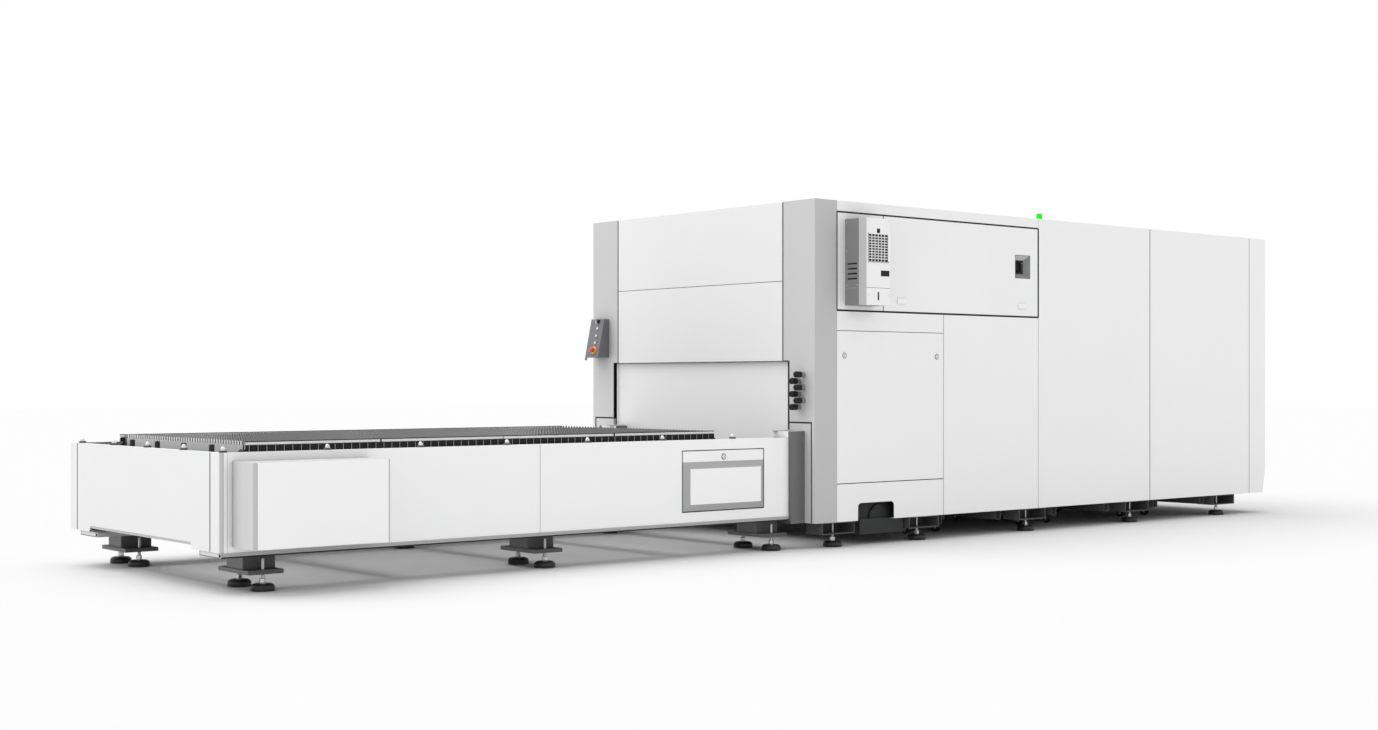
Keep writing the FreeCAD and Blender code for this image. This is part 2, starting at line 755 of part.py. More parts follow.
def make_base_frame():
    near, far = 5.0, 5.0 + station_depth
    pieces = []
    for start in station_starts:
        channel = station(start, start + station_length, near, far)
        pieces += [channel, mirrored(channel, hall_middle)]
    for number in range(cross_tube_count):
        x = cross_tube_first + cross_tube_pitch * number
        pieces.append(tube(x, x + cross_tube_width, 30, hall_width - 30, cross_tube_low, skirt, 4, "y"))
    sill_near = bed_near
    for y in (sill_near, 2 * pallet_middle - sill_near - 80):
        pieces.append(tube(40, end_beam, y, y + 80, skirt, sill_top, 5, "x"))
    pieces.append(tube(end_beam, end_beam + post_size, sheet, hall_width - sheet, skirt, sill_top, 4, "y"))
    for y in (fold, hall_width - far_post_inset):
        for x in post_positions:
            pieces.append(tube(x, x + post_size, y, y + post_size, skirt, top_tube_low, 4, "z"))
        pieces.append(tube(90, side_seams[-1] - 10, y, y + post_size, top_tube_low, top_tube_high, 3, "x"))
    pieces.append(tube(cabinet_post, cabinet_post + post_size, fold, fold + post_size,
                       skirt, cabinet_low + 2, 4, "z"))
    return pieces


def make_pedestal():
    """Block under the bed that shows through the notch, with an arched rib on top."""
    block = box(notch_left + 56, notch_right + 130, 40, bed_near, skirt - 95, skirt + 5)
    arch = rod(notch_left + 256, 62, skirt + 5, 88, 14, vec(0, 1, 0))
    arch = arch.cut(box(notch_left, notch_right + 100, 40, 100, 0, skirt + 5))
    back = box(notch_left + 56, notch_right + 60, 76, bed_near, skirt + 5, notch_top + 20)
    return [block.fuse([arch, back])]


def foot_pad(x, y):
    up = vec(0, 0, 1)
    return taper(ring_points(vec(x, y, 0), pad_radius, pad_sides, up),
                 ring_points(vec(x, y, pad_height), pad_top_radius, pad_sides, up))


def foot_stud(x, y, top):
    return flats(x, y, pad_height, stud_radius, top - pad_height, vec(0, 0, 1), 6)


def foot_places():
    """Every levelling foot: X, Y and the height of its stud's end."""
    places = []
    for x in hall_feet:
        for y in (foot_inset, hall_width - foot_inset):
            places.append((x, y, skirt - station_height))
    for x, y in bracket_places:
        for step in (0, bracket_foot_pitch):
            places.append((x, y + step, bracket_plate_low + bracket_plate + 58))
            places.append((x, 2 * table_middle - y - step, bracket_plate_low + bracket_plate + 58))
    return places


# ---- bed, rails and gantry
def make_bed():
    far_near = 2 * pallet_middle - rail_near
    beams = []
    for y in (bed_near, far_near):
        beams.append(tube(bed_start, bed_end, y, y + bed_beam_width, sill_top, bed_high, bed_wall, "x"))
    cross = []
    first = bed_start + bed_cross_inset
    last = bed_end - bed_cross_inset - bed_cross_width
    for number in range(bed_cross_count):
        x = first + (last - first) / (bed_cross_count - 1) * number
        cross.append(tube(x, x + bed_cross_width, rail_near, far_near, sill_top, sill_top + 110, 8, "y"))
    return beams + cross


def make_guide_rails():
    """Pallet ledges on two levels, gantry rails with their racks, and the lift door's guides."""
    rails = []
    for top in (pallet_top - pallet_height, pallet_top - pallet_height - pallet_drop):
        ledge = box(table_start + 140, pallet_parked + pallet_length + 90, rail_near, rail_near + rail_width,
                    top - rail_height, top - slide_gap)
        rails += [ledge, mirrored(ledge, pallet_middle)]
    gantry_rail = box(bed_start + 30, bed_end - 20, bed_near + 70, bed_near + 70 + rail_size,
                      bed_high, bed_high + rail_size)
    rack = box(bed_start + 30, bed_end - 20, bed_near + 110, bed_near + 132, bed_high, bed_high + 18)
    rails += [gantry_rail, rack, mirrored(gantry_rail, pallet_middle), mirrored(rack, pallet_middle)]
    guide = box(lift_inset - 3, bed_start, lift_near - 17, lift_near - 1, sill_top, top_tube_low - 10)
    rails += [guide, mirrored(guide, hall_middle)]
    top_track = box(operator_left - operator_lap, side_seams[2], hall_width - operator_inset - 26,
                    hall_width - fold, operator_high + 14, operator_high + 34)
    return rails + [top_track]


def make_lift_door():
    door = pan(lift_inset, lift_inset + lift_thickness, lift_near, lift_far, lift_low, lift_high, "+x")
    ribs = [box(lift_inset + sheet, lift_inset + lift_thickness - 2, y - 15, y + 15,
                lift_low + sheet, lift_high - sheet)
            for y in (lift_near + 450, hall_middle, lift_far - 450)]
    return [door.fuse(ribs)]


def make_gantry():
    near, far = bed_near + 12, 2 * pallet_middle - bed_near - 12
    beam = tube(gantry_start, gantry_start + gantry_width, near, far,
                gantry_low, gantry_low + gantry_height, 10, "y")
    saddle = box(gantry_start, gantry_start + gantry_width, bed_near + 62, bed_near + 104,
                 bed_high + rail_size + slide_gap, gantry_low)
    cross_rails = [box(gantry_start - 20, gantry_start, near + 30, far - 30, z, z + 20)
                   for z in (gantry_low + 30, gantry_low + gantry_height - 50)]
    return [beam, saddle, mirrored(saddle, pallet_middle)] + cross_rails


def make_carriage():
    back = gantry_start - 20 - slide_gap
    plate = box(back - 22, back, head_y - carriage_width / 2, head_y + carriage_width / 2,
                gantry_low - 15, gantry_low + gantry_height + 70)
    motor = box(back - 22, back + 120, head_y - 60, head_y + 60,
                gantry_low + gantry_height + 30, gantry_low + gantry_height + 150)
    return [plate.fuse(motor)]


def make_cutting_head():
    """Z slide plate with the cutting head: body, collimator cap, cone and nozzle."""
    front = gantry_start - 20 - slide_gap - 22 - slide_gap
    plate = box(front - 24, front, head_y - 60, head_y + 60, gantry_low - 20, gantry_low + 430)
    up = vec(0, 0, 1)
    axis_x = front - 24 - 46
    body = flats(axis_x, head_y, nozzle_z + 110, 50, 230, up)
    cap = flats(axis_x, head_y, nozzle_z + 340, 34, 120, up)
    cone = taper(ring_points(vec(axis_x, head_y, nozzle_z), 5, 12, up),
                 ring_points(vec(axis_x, head_y, nozzle_z + 110), 40, 12, up))
    mount = box(front - 40, front - 20, head_y - 40, head_y + 40, nozzle_z + 140, nozzle_z + 330)
    return [plate.fuse([mount, body, cap, cone])]


def make_laser_source():
    """Closed cabinet of the laser, inside the far end of the hall."""
    left = cross_tube_last
    return [box(left, left + source_length, 320, 320 + source_width, skirt, skirt + source_height)]


# ---- exchange table
def table_post():
    corner = box(table_start, table_start + post_width, table_near, table_near + post_depth,
                 table_low, table_high)
    corner = rounded(corner, post_rounding,
                     lambda at, way: upright(way) and at.x < table_start + 1 and at.y < table_near + 1)
    hollow = box(table_start + sheet, table_start + post_width + 1, table_near + sheet,
                 table_near + post_depth + 1, table_low - 1, table_high - sheet)
    hollow = rounded(hollow, post_rounding - sheet,
                     lambda at, way: upright(way) and at.x < table_start + 4 and at.y < table_near + 4)
    return corner.cut(hollow)


def table_side():
    half = seam / 2
    start = table_start + post_width + half
    first = pan(start, table_seam - half, table_near, table_near + fold, table_low, table_high, "+y")
    second = pan(table_seam + half, table_end, table_near, table_near + fold, table_low, table_high, "+y")
    return first, second


def make_table_covers():
    """Corner posts, side covers, the end cover with its raised lower edge, and the top ledges."""
    post = table_post()
    first, second = table_side()
    opening = box(flap_left, flap_right, table_near - 1, table_near + fold + 1, flap_low, flap_high)
    pieces = [post, first, second.cut(opening)]
    pieces += [mirrored(piece, table_middle) for piece in (post, first, second)]
    near, far = table_near + post_depth + seam, table_far - post_depth - seam
    end = pan(table_start, table_start + fold, near, far, table_low, table_high, "+x")
    low_y, high_y = near + 205, far - 170
    notch = [(low_y, table_low - 1), (low_y + end_notch_slope, table_low + end_notch_height),
             (high_y - end_notch_slope, table_low + end_notch_height), (high_y, table_low - 1)]
    cut = prism([vec(table_start - 1, y, z) for y, z in notch], vec(fold + 2, 0, 0))
    edge = table_low + end_notch_height
    stiffener = box(table_start + sheet, table_start + sheet + 5, low_y, high_y,
                    edge - end_stiffener, edge + 20)
    pieces.append(end.cut(cut).fuse(stiffener))
    return pieces


def make_motor_cover():
    outer = box(cover_start, cover_end, table_near - cover_reach, table_near, cover_low, cover_high)
    outer = rounded(outer, cover_rounding,
                    lambda at, way: upright(way) and at.y < table_near - cover_reach + 1)
    inner = box(cover_start + sheet, cover_end - sheet, table_near - cover_reach + sheet, table_near + 1,
                cover_low + sheet, cover_high - sheet)
    inner = rounded(inner, cover_rounding - sheet,
                    lambda at, way: upright(way) and at.y < table_near - cover_reach + 4)
    return [outer.cut(inner)]


def make_drive():
    """Gear motor that pulls the pallets, behind its cover."""
    left = table_start + gearbox_start
    right = left + gearbox_size
    gearbox = box(left, right, -20, table_near - 10, 270, 430)
    motor = flats(right, 40, 350, 75, motor_length - 60, vec(1, 0, 0), 16)
    terminal_box = box(right + 60, right + 170, 0, 80, 410, 470)
    foot = box(left, right, table_near - 10, table_near, 262, 438)
    return [gearbox.fuse([motor, terminal_box, foot])]


def make_table_frame():
    """Edge rails under the covers, posts, ledge webs and cross tubes."""
    web_near = rail_near - 8
    low = table_low - rail_strip
    far_rail = table_far - far_rail_inset
    rails = [tube(table_start, table_end, y, y + rail_span, low, table_low, 5, "x")
             for y in (table_near - 4, far_rail - rail_span)]
    web = box(table_start + 140, table_end, web_near, rail_near, table_low, pallet_top - pallet_height - 2)
    post_starts = (table_start + frame_inset, table_seam - frame_post / 2,
                   table_end - frame_inset - frame_post + 27)
    post_high = pallet_top - pallet_height - 60
    posts = [tube(x, x + frame_post, table_near + fold + 7, web_near, table_low, post_high, 5, "z")
             for x in post_starts]
    pieces = rails + [web, mirrored(web, pallet_middle)] + posts
    far_web = 2 * pallet_middle - rail_near + 8
    for x in post_starts:
        pieces.append(tube(x, x + frame_post, far_web, table_far - fold - 7, table_low, post_high, 5, "z"))
    for place in cross_places:
        x = table_start + place
        pieces.append(tube(x, x + frame_post, rail_near, far_web - 8, table_low, table_low + 90, 5, "y"))
    return pieces


def make_locker():
    """Box behind the drop-down flap."""
    return [pan(flap_left + 4, flap_right - 4, table_near + fold + 2, rail_near - 10,
                flap_low + 4, flap_high - 4, "-y")]


def make_brackets():
    pieces = []
    for x, y in bracket_places:
        top = table_low - rail_strip
        low = bracket_plate_low
        near = y - 38
        left, right = x - bracket_width / 2, x + bracket_width / 2
        plate = box(left, right, near, near + bracket_length, low, low + bracket_plate)
        for step in (0, bracket_foot_pitch):
            plate = plate.cut(flats(x, y + step, 0, stud_radius + stud_gap, 200, vec(0, 0, 1), 6))
        block = tube(left + 8, right - 8, y + 40, y + bracket_foot_pitch - 40,
                     low + bracket_plate, top, 8, "z")
        pieces += [plate, block]
    return pieces + [mirrored(piece, table_middle) for piece in pieces]


def make_flap():
    """Drop-down flap: a plain strip with the lock over a raised field with bevelled edges."""
    left, right = flap_left + flap_gap, flap_right - flap_gap
    low, high = flap_low + flap_gap, flap_high - flap_gap
    skin = pan(left, right, table_near, table_near + flap_fold, low, high, "+y")
    top = high - flap_strip
    outlines = []
    for inset, y in ((0, table_near), (flap_bevel, table_near - flap_raise),
                     (sheet, table_near + sheet + 0.1), (flap_bevel + sheet, table_near - flap_raise + sheet)):
        outlines.append([vec(left + inset, y, low + inset), vec(right - inset, y, low + inset),
                         vec(right - inset, y, top - inset), vec(left + inset, y, top - inset)])
    field = taper(outlines[0], outlines[1])
    hollow = taper(outlines[2], outlines[3])
    hole = flats((left + right) / 2, table_near - 1, high - flap_strip / 2 - 5,
                 shaft_radius + shaft_clearance, 30, vec(0, 1, 0))
    return [skin.fuse(field).cut(hollow).cut(hole)]


def make_flap_lock():
    x = (flap_left + flap_right) / 2
    z = flap_high - flap_gap - flap_strip / 2 - 5
    head = flats(x, table_near - 0.4, z, lock_radius, 4, vec(0, -1, 0), button_sides)
    slot = box(x - 1.5, x + 1.5, table_near - 6, table_near - 2.4, z - 9, z + 9)
    shaft = flats(x, table_near - 1, z, shaft_radius, 24, vec(0, 1, 0))
    return [head.cut(slot).fuse(shaft)]


def make_transition():
    """Boxes that close the way between the table and the hall, with pointed guide plates on top."""
    near = 91.0
    body = pan(table_end, 0, near, rail_near - 4, skirt, 740, "+x")
    guide = prism([vec(table_end - 35, rail_near - 34, 740), vec(table_end + 30, rail_near - 70, 740),
                   vec(-8, rail_near - 70, 740), vec(-8, rail_near - 6, 740),
                   vec(table_end - 10, rail_near - 6, 740)], vec(0, 0, 6))
    pieces = [body, guide]
    return pieces + [mirrored(piece, pallet_middle) for piece in pieces]


def make_ball_units():
    """Ball transfer units along the table's upper edges."""
    places = []
    for number in range(balls_along):
        x = table_start + ball_first + ball_pitch_x * number
        places += [(x, table_near + ball_radius), (x, table_far - ball_radius)]
    for number in range(balls_across):
        places.append((table_start + ball_radius, table_near + ball_radius + ball_pitch_y * number))
    units = []
    for x, y in places:
        seat = table_high
        up = vec(0, 0, 1)
        units.append(taper(ring_points(vec(x, y, seat), ball_radius, 8, up),
                           ring_points(vec(x, y, seat + ball_height), ball_top, 8, up)))
    return units


def make_buffers():
    """Rubber stops behind the table's end cover."""
    places = [table_near + buffer_first + buffer_pitch * number for number in range(buffer_count)]
    stops = [flats(table_start + 60, y, table_high - 12, buffer_radius, buffer_rise + 12, vec(0, 0, 1))
             for y in places]
    bar = box(table_start + sheet, table_start + 86, places[0] - 60, places[-1] + 60,
              table_high - 22, table_high - 12)
    return stops + [bar]


# ---- pallets
def make_pallet_frame(start, drop):
    """Side tubes with slotted combs on top, end tubes and the shoes that run on the ledges."""
    stop = start + pallet_length
    low = pallet_top - pallet_height - drop
    tube_low = low + shoe_height
    tube_high = tube_low + pallet_tube
    pieces = []
    side = tube(start, stop, pallet_near, pallet_near + pallet_tube, tube_low, tube_high, 4, "x")
    comb = box(start + cap_size, stop - cap_size, pallet_near, pallet_near + 8,
               tube_high, pallet_top - strip_height - drop)
    strips = []
    pitch = (pallet_length - 2 * cap_size) / strip_count
    for number in range(strip_count):
        left = start + cap_size + pitch * number
        strips.append(box(left + 4, left + pitch - 4, pallet_near, pallet_near + 14,
                          pallet_top - strip_height - drop, pallet_top - drop))
    shoes = [box(x, x + 160, pallet_near, pallet_near + 20, low, tube_low)
             for x in (start + 60, start + pallet_length / 2 - 80, stop - 220)]
    for piece in [side, comb] + strips + shoes:
        pieces += [piece, mirrored(piece, pallet_middle)]
    ends = []
    for x, turned in ((start, 1), (stop, -1)):
        cap = prism([vec(x, pallet_near, tube_high), vec(x + turned * cap_size, pallet_near, tube_high),
                     vec(x + turned * cap_size, pallet_near, tube_high + cap_size)], vec(0, pallet_tube, 0))
        ends += [cap, mirrored(cap, pallet_middle)]
    for x in (start, stop - pallet_tube):
        ends.append(tube(x, x + pallet_tube, pallet_near + pallet_tube, pallet_far - pallet_tube,
                         tube_low, tube_high, 4, "y"))
    return pieces + ends


def make_slats(start, drop):
    """Toothed slats across the pallet, standing in the combs."""
    near, far = pallet_near + 8 + slide_gap, pallet_far - 8 - slide_gap
    tip = pallet_top + slat_proud - drop
    low = tip - slat_depth + 30
    step = (far - near) / slat_teeth
    outline = [vec(0, near, low), vec(0, far, low)]
    for tooth in range(slat_teeth):
        outline.append(vec(0, far - step * tooth, tip - tooth_depth))
        outline.append(vec(0, far - step * (tooth + 0.5), tip))
    outline.append(vec(0, near, tip - tooth_depth))
    slat = prism(outline, vec(slat_thickness, 0, 0))
    span = pallet_length - 2 * pallet_tube - 2 * slat_thickness
    pitch = span / (slat_count - 1)
    slats = []
    for number in range(slat_count):
        copy = slat.copy()
        copy.translate(vec(start + pallet_tube + slat_thickness / 2 + pitch * number, 0, 0))
        slats.append(copy)
    return slats


# ---- trays on wheels
def tray_start(number):
    return cross_tube_first + cross_tube_pitch * tray_tubes[number] + cross_tube_width + 8


def make_tray(number):
    """Open tray for fallen scrap with forks that ride on its two axles."""
    left = tray_start(number)
    right = left + tray_width
    far = tray_near + tray_length
    body = box(left, right, tray_near, far, tray_low + 24, tray_high)
    body = body.cut(box(left + tray_wall, right - tray_wall, tray_near + tray_wall, far - tray_wall,
                        tray_low + 24 + tray_wall, tray_high + 1))
    lugs = []
    for y in (tray_near + wheel_inset, far - wheel_inset):
        for x in (left + wheel_width + 16, right - wheel_width - 26):
            lug = box(x, x + 10, y - 18, y + 18, wheel_radius - 14, tray_low + 24)
            fork = axle_radius + shaft_clearance
            lugs.append(lug.cut(box(x - 1, x + 11, y - fork, y + fork, 0, wheel_radius + fork)))
    return [body.fuse(lugs)]


def make_wheelset(number, place):
    """An axle with its two wheels."""
    left = tray_start(number)
    y = tray_near + wheel_inset if place == "front" else tray_near + tray_length - wheel_inset
    across = vec(1, 0, 0)
    axle = flats(left + 8, y, wheel_radius, axle_radius, tray_width - 16, across)
    wheels = [flats(x, y, wheel_radius, wheel_radius, wheel_width, across, wheel_sides)
              for x in (left + 8, left + tray_width - 8 - wheel_width)]
    return [axle.fuse(wheels)]


# ---- all nodes
save("corner_pillars", make_pillars())
save("hall_covers", make_end_covers() + make_side_covers() + make_operator_covers())
save("far_end_hood", make_far_end())
save("roof_covers", make_roof())
save("cabinet_shell", make_cabinet_shell())
save("cabinet_modules", make_cabinet_modules())
save("cabinet_door", make_cabinet_door())
save("isolator_cup", make_isolator_cup())
save("isolator_knob", make_isolator_knob())
latch_places = {"cabinet_latch_left": cabinet_split + seam / 2 + latch_inset,
                "cabinet_latch_right": cabinet_right - 3 - latch_inset}
for latch_name, latch_x in latch_places.items():
    save(latch_name, make_latch(latch_x))
save("access_door", make_access_door())
lock_places = {"access_lock_left": pillar_side + seam / 2 + lock_inset,
               "access_lock_right": side_seams[0] - seam / 2 - lock_inset}
for lock_name, lock_x in lock_places.items():
    save(lock_name, make_lock(lock_x))
save("cooler_housing", make_cooler_housing())
save("cooler_front", make_cooler_front())
save("control_box", make_control_box())
save("control_plate", make_control_plate())
for button_name, button_drop in zip(("start_button", "exchange_button", "reset_button"), button_drops):
    save(button_name, make_button(button_drop))
save("stop_button", make_stop_button())
save("key_switch", make_key_switch())
save("cable_glands", make_glands())
save("signal_lamp", make_signal_lamp())
save("operator_door", make_operator_door())
save("door_window", make_door_window())
save("base_frame", make_base_frame())
save("foot_pads", [foot_pad(x, y) for x, y, top in foot_places()])
save("foot_studs", [foot_stud(x, y, top) for x, y, top in foot_places()])
save("machine_bed", make_bed() + make_pedestal())
save("guide_rails", make_guide_rails())
save("lift_door", make_lift_door())
save("gantry_beam", make_gantry())
save("head_carriage", make_carriage())
save("cutting_head", make_cutting_head())
save("laser_source", make_laser_source())
save("table_covers", make_table_covers())
save("motor_cover", make_motor_cover())
save("table_frame", make_table_frame() + make_drive())
save("flap_locker", make_locker())
save("table_brackets", make_brackets())
save("tool_flap", make_flap())
save("flap_lock", make_flap_lock())
save("transition_guards", make_transition())
save("ball_units", make_ball_units())
save("pallet_buffers", make_buffers())
save("upper_pallet_frame", make_pallet_frame(pallet_start, 0))
save("upper_pallet_slats", make_slats(pallet_start, 0))
save("lower_pallet_frame", make_pallet_frame(pallet_parked, pallet_drop))
save("lower_pallet_slats", make_slats(pallet_parked, pallet_drop))
for tray_number in range(len(tray_tubes)):
    save("scrap_tray_%d" % (tray_number + 1), make_tray(tray_number))
    for axle_place in ("front", "rear"):
        save("tray_wheels_%d_%s" % (tray_number + 1, axle_place), make_wheelset(tray_number, axle_place))
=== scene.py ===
import json
import math
import bmesh
import bpy
from mathutils import Matrix, Vector


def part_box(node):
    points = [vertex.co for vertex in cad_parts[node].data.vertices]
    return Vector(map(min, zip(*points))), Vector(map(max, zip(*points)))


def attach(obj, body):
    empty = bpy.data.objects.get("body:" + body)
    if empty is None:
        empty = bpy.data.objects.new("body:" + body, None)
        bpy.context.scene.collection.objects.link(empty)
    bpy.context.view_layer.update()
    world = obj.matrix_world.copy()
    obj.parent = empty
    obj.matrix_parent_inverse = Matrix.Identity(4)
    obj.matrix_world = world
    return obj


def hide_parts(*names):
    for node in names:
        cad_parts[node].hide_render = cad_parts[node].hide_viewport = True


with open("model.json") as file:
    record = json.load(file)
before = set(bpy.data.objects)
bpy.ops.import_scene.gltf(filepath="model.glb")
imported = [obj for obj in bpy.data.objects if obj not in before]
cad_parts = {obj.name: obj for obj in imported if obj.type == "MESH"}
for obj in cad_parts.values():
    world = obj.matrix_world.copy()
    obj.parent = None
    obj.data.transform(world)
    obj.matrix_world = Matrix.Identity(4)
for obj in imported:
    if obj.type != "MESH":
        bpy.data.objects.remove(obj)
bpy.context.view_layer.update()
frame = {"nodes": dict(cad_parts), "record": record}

scene = bpy.context.scene
record = frame["record"]
bodyOf = {node: body for body, nodes in record["behaviour"]["bodies"].items() for node in nodes}
slotOf = {part["node"]: part["material_slot"] for part in record["subparts"]}
hallCorner = Vector((-0.565, -1.0685, 0.0))  # near corner of the hall's end face, on the floor


def at(x, y, z):
    # x, y, z in millimetres from the hall's near corner.
    return hallCorner + Vector((x, y, z)) / 1000


def nodeIn(tree, kind, given=None, **settings):
    # A node with its settings; given holds plain values for its inputs, or sockets that are linked to them.
    node = tree.nodes.new(kind)
    for name, value in settings.items():
        setattr(node, name, value)
    for name, value in (given or {}).items():
        if isinstance(value, bpy.types.NodeSocket):
            tree.links.new(value, node.inputs[name])
        else:
            node.inputs[name].default_value = value
    return node


def openTree(name, kind, inputs, outputs):
    # A node group with its sockets.
    tree = bpy.data.node_groups.new(name, kind)
    for way, sockets in (("INPUT", inputs), ("OUTPUT", outputs)):
        for label, value in sockets.items():
            tree.interface.new_socket(name=label, in_out=way, socket_type="NodeSocket" + value)
    return tree


def maths(tree, operation, *values, **settings):
    return nodeIn(tree, "ShaderNodeMath", dict(enumerate(values)), operation=operation, **settings).outputs[0]


# studio
studio = {"eye": (-8.3005, -9.0830, 1.0504), "turn": -39.93, "sensor": 36, "lens": 46.352, "shiftY": 0.01214,
          "reach": 200, "ambient": 0.85, "background": 1.0, "broadLight": 1.40, "broadAngle": 60.0,
          "broadFrom": (-0.34, 0.29, 0.89), "paper": 0.79, "floorHalf": 60, "floorDrop": -0.001}


def setStudio():
    camera = bpy.data.objects.new("photoCamera", bpy.data.cameras.new("photoCamera"))
    camera.location = studio["eye"]
    camera.rotation_euler = (math.radians(90), 0, math.radians(studio["turn"]))
    camera.data.sensor_width = studio["sensor"]
    camera.data.lens = studio["lens"]
    camera.data.shift_y = studio["shiftY"]
    camera.data.clip_end = studio["reach"]
    scene.collection.objects.link(camera)
    scene.camera = camera
    scene.view_settings.view_transform = "Standard"

    world = bpy.data.worlds.new("studioWorld")
    scene.world = world
    world.use_nodes = True
    tree = world.node_tree
    tree.nodes.clear()
    ray = nodeIn(tree, "ShaderNodeLightPath").outputs
    either = maths(tree, "ADD", ray["Is Camera Ray"], ray["Is Glossy Ray"])
    anyOf = maths(tree, "ADD", either, ray["Is Transmission Ray"], use_clamp=True)
    soft, white = (nodeIn(tree, "ShaderNodeBackground", {"Color": (1, 1, 1, 1), "Strength": studio[key]}).outputs[0]
                   for key in ("ambient", "background"))
    blend = nodeIn(tree, "ShaderNodeMixShader", {0: anyOf, 1: soft, 2: white})
    nodeIn(tree, "ShaderNodeOutputWorld", {0: blend.outputs[0]})

    # broad light from above and behind, so that the shade falls towards the camera
    lamp = bpy.data.lights.new("broadLight", "SUN")
    lamp.energy = studio["broadLight"]
    lamp.angle = math.radians(studio["broadAngle"])
    holder = bpy.data.objects.new("broadLight", lamp)
    holder.rotation_euler = Vector(studio["broadFrom"]).to_track_quat("Z", "Y").to_euler()
    scene.collection.objects.link(holder)

    floorMesh = bpy.data.meshes.new("studioFloor")
    half, drop = studio["floorHalf"], studio["floorDrop"]
    floorMesh.from_pydata([(x * half, y * half, drop) for x, y in ((-1, -1), (1, -1), (1, 1), (-1, 1))], [],
                          [(0, 1, 2, 3)])
    floor = bpy.data.objects.new("studioFloor", floorMesh)
    scene.collection.objects.link(floor)
    paper = bpy.data.materials.new("studioPaper")
    paper.use_nodes = True
    paper.node_tree.nodes.clear()
    diffuse = nodeIn(paper.node_tree, "ShaderNodeBsdfDiffuse", {"Color": (*[studio["paper"]] * 3, 1)})
    nodeIn(paper.node_tree, "ShaderNodeOutputMaterial", {"Surface": diffuse.outputs[0]})
    floorMesh.materials.append(paper)


setStudio()
print("studio ready")


# finishes
surface = {"cloudScale": 2.3, "cloudDetail": 4, "grainDetail": 3, "roughSwing": 0.12, "bumpHeight": 0.001,
           "dustHeight": 0.5, "dustColour": (0.36, 0.35, 0.33, 1), "paintedShadeReach": 0.11, "paintedShadeSamples": 6,
           "paintedShadeColour": (0.05, 0.05, 0.052, 1)}


def surfaceGroup(name, stretch):
    # Colour, roughness and height that change over a surface; stretch draws the grain out.
    tree = openTree(name, "ShaderNodeTree", {"Paint": "Color", "Shade": "Float", "Grain": "Float", "Rough": "Float",
                                             "Dust": "Float", "Contact": "Float"},
                    {"Colour": "Color", "Roughness": "Float", "Height": "Float"})
    given = nodeIn(tree, "NodeGroupInput").outputs
    place = nodeIn(tree, "ShaderNodeTexCoord").outputs["Object"]
    drawn = nodeIn(tree, "ShaderNodeMapping", {"Scale": stretch, "Vector": place}).outputs["Vector"]
    fine = nodeIn(tree, "ShaderNodeTexNoise", {"Detail": surface["grainDetail"], "Vector": drawn,
                                               "Scale": given["Grain"]}).outputs["Fac"]
    broad = nodeIn(tree, "ShaderNodeTexNoise", {"Scale": surface["cloudScale"], "Detail": surface["cloudDetail"],
                                                "Vector": place}).outputs["Fac"]

    # lighter and darker clouds over the whole piece
    amount = maths(tree, "MULTIPLY_ADD", maths(tree, "SUBTRACT", broad, 0.5), given["Shade"], 1.0)
    toned = nodeIn(tree, "ShaderNodeVectorMath", {0: given["Paint"], "Scale": amount}, operation="SCALE")

    # dust that settles near the floor
    split = nodeIn(tree, "ShaderNodeSeparateXYZ", {0: place})
    low = nodeIn(tree, "ShaderNodeMapRange", {"From Min": 0.0, "From Max": surface["dustHeight"], "To Min": 1.0,
                                              "To Max": 0.0, "Value": split.outputs["Z"]})
    patchy = maths(tree, "MULTIPLY", maths(tree, "MULTIPLY", low.outputs[0], given["Dust"]), fine)
    covered = nodeIn(tree, "ShaderNodeMix", {"Factor": patchy, "A": toned.outputs[0], "B": surface["dustColour"]},
                     data_type="RGBA")

    # painted shade in corners and close to what stands in front
    near = nodeIn(tree, "ShaderNodeAmbientOcclusion", {"Distance": surface["paintedShadeReach"]},
                  samples=surface["paintedShadeSamples"])
    deep = maths(tree, "MULTIPLY", maths(tree, "SUBTRACT", 1.0, near.outputs["AO"]), given["Contact"])
    shaded = nodeIn(tree, "ShaderNodeMix", {"Factor": deep, "A": covered.outputs["Result"],
                                            "B": surface["paintedShadeColour"]}, data_type="RGBA")

    rougher = maths(tree, "MULTIPLY_ADD", fine, surface["roughSwing"], given["Rough"])
    nodeIn(tree, "NodeGroupOutput", {"Colour": shaded.outputs["Result"], "Roughness": rougher, "Height": fine})
    return tree


coatSurface = surfaceGroup("coatSurface", (1, 1, 1))  # powder coat and moulded plastic
brushedSurface = surfaceGroup("brushedSurface", (0.04, 1, 1))  # rolled or ground along X
slatSurface = surfaceGroup("slatSurface", (1, 0.05, 1))  # rolled along Y


def finish(name, paint, shade=0.05, grain=900.0, rough=0.38, bump=0.03, dust=0.0, metal=0.0,
           group=None, contact=0.0, **shader):
    made = bpy.data.materials.new(name)
    made.use_nodes = True
    tree = made.node_tree
    body = tree.nodes["Principled BSDF"]
    coat = nodeIn(tree, "ShaderNodeGroup", {"Paint": (*paint, 1), "Shade": shade, "Grain": grain, "Rough": rough,
                                            "Dust": dust, "Contact": contact}, node_tree=group or coatSurface)
    relief = nodeIn(tree, "ShaderNodeBump", {"Strength": bump, "Distance": surface["bumpHeight"],
                                             "Height": coat.outputs["Height"]})
    for label, source in (("Base Color", coat.outputs["Colour"]), ("Roughness", coat.outputs["Roughness"]),
                          ("Normal", relief.outputs["Normal"])):
        tree.links.new(source, body.inputs[label])
    body.inputs["Metallic"].default_value = metal
    for label, value in shader.items():
        body.inputs[label.replace("_", " ")].default_value = value
    made.diffuse_color = (*paint, 1)
    return made


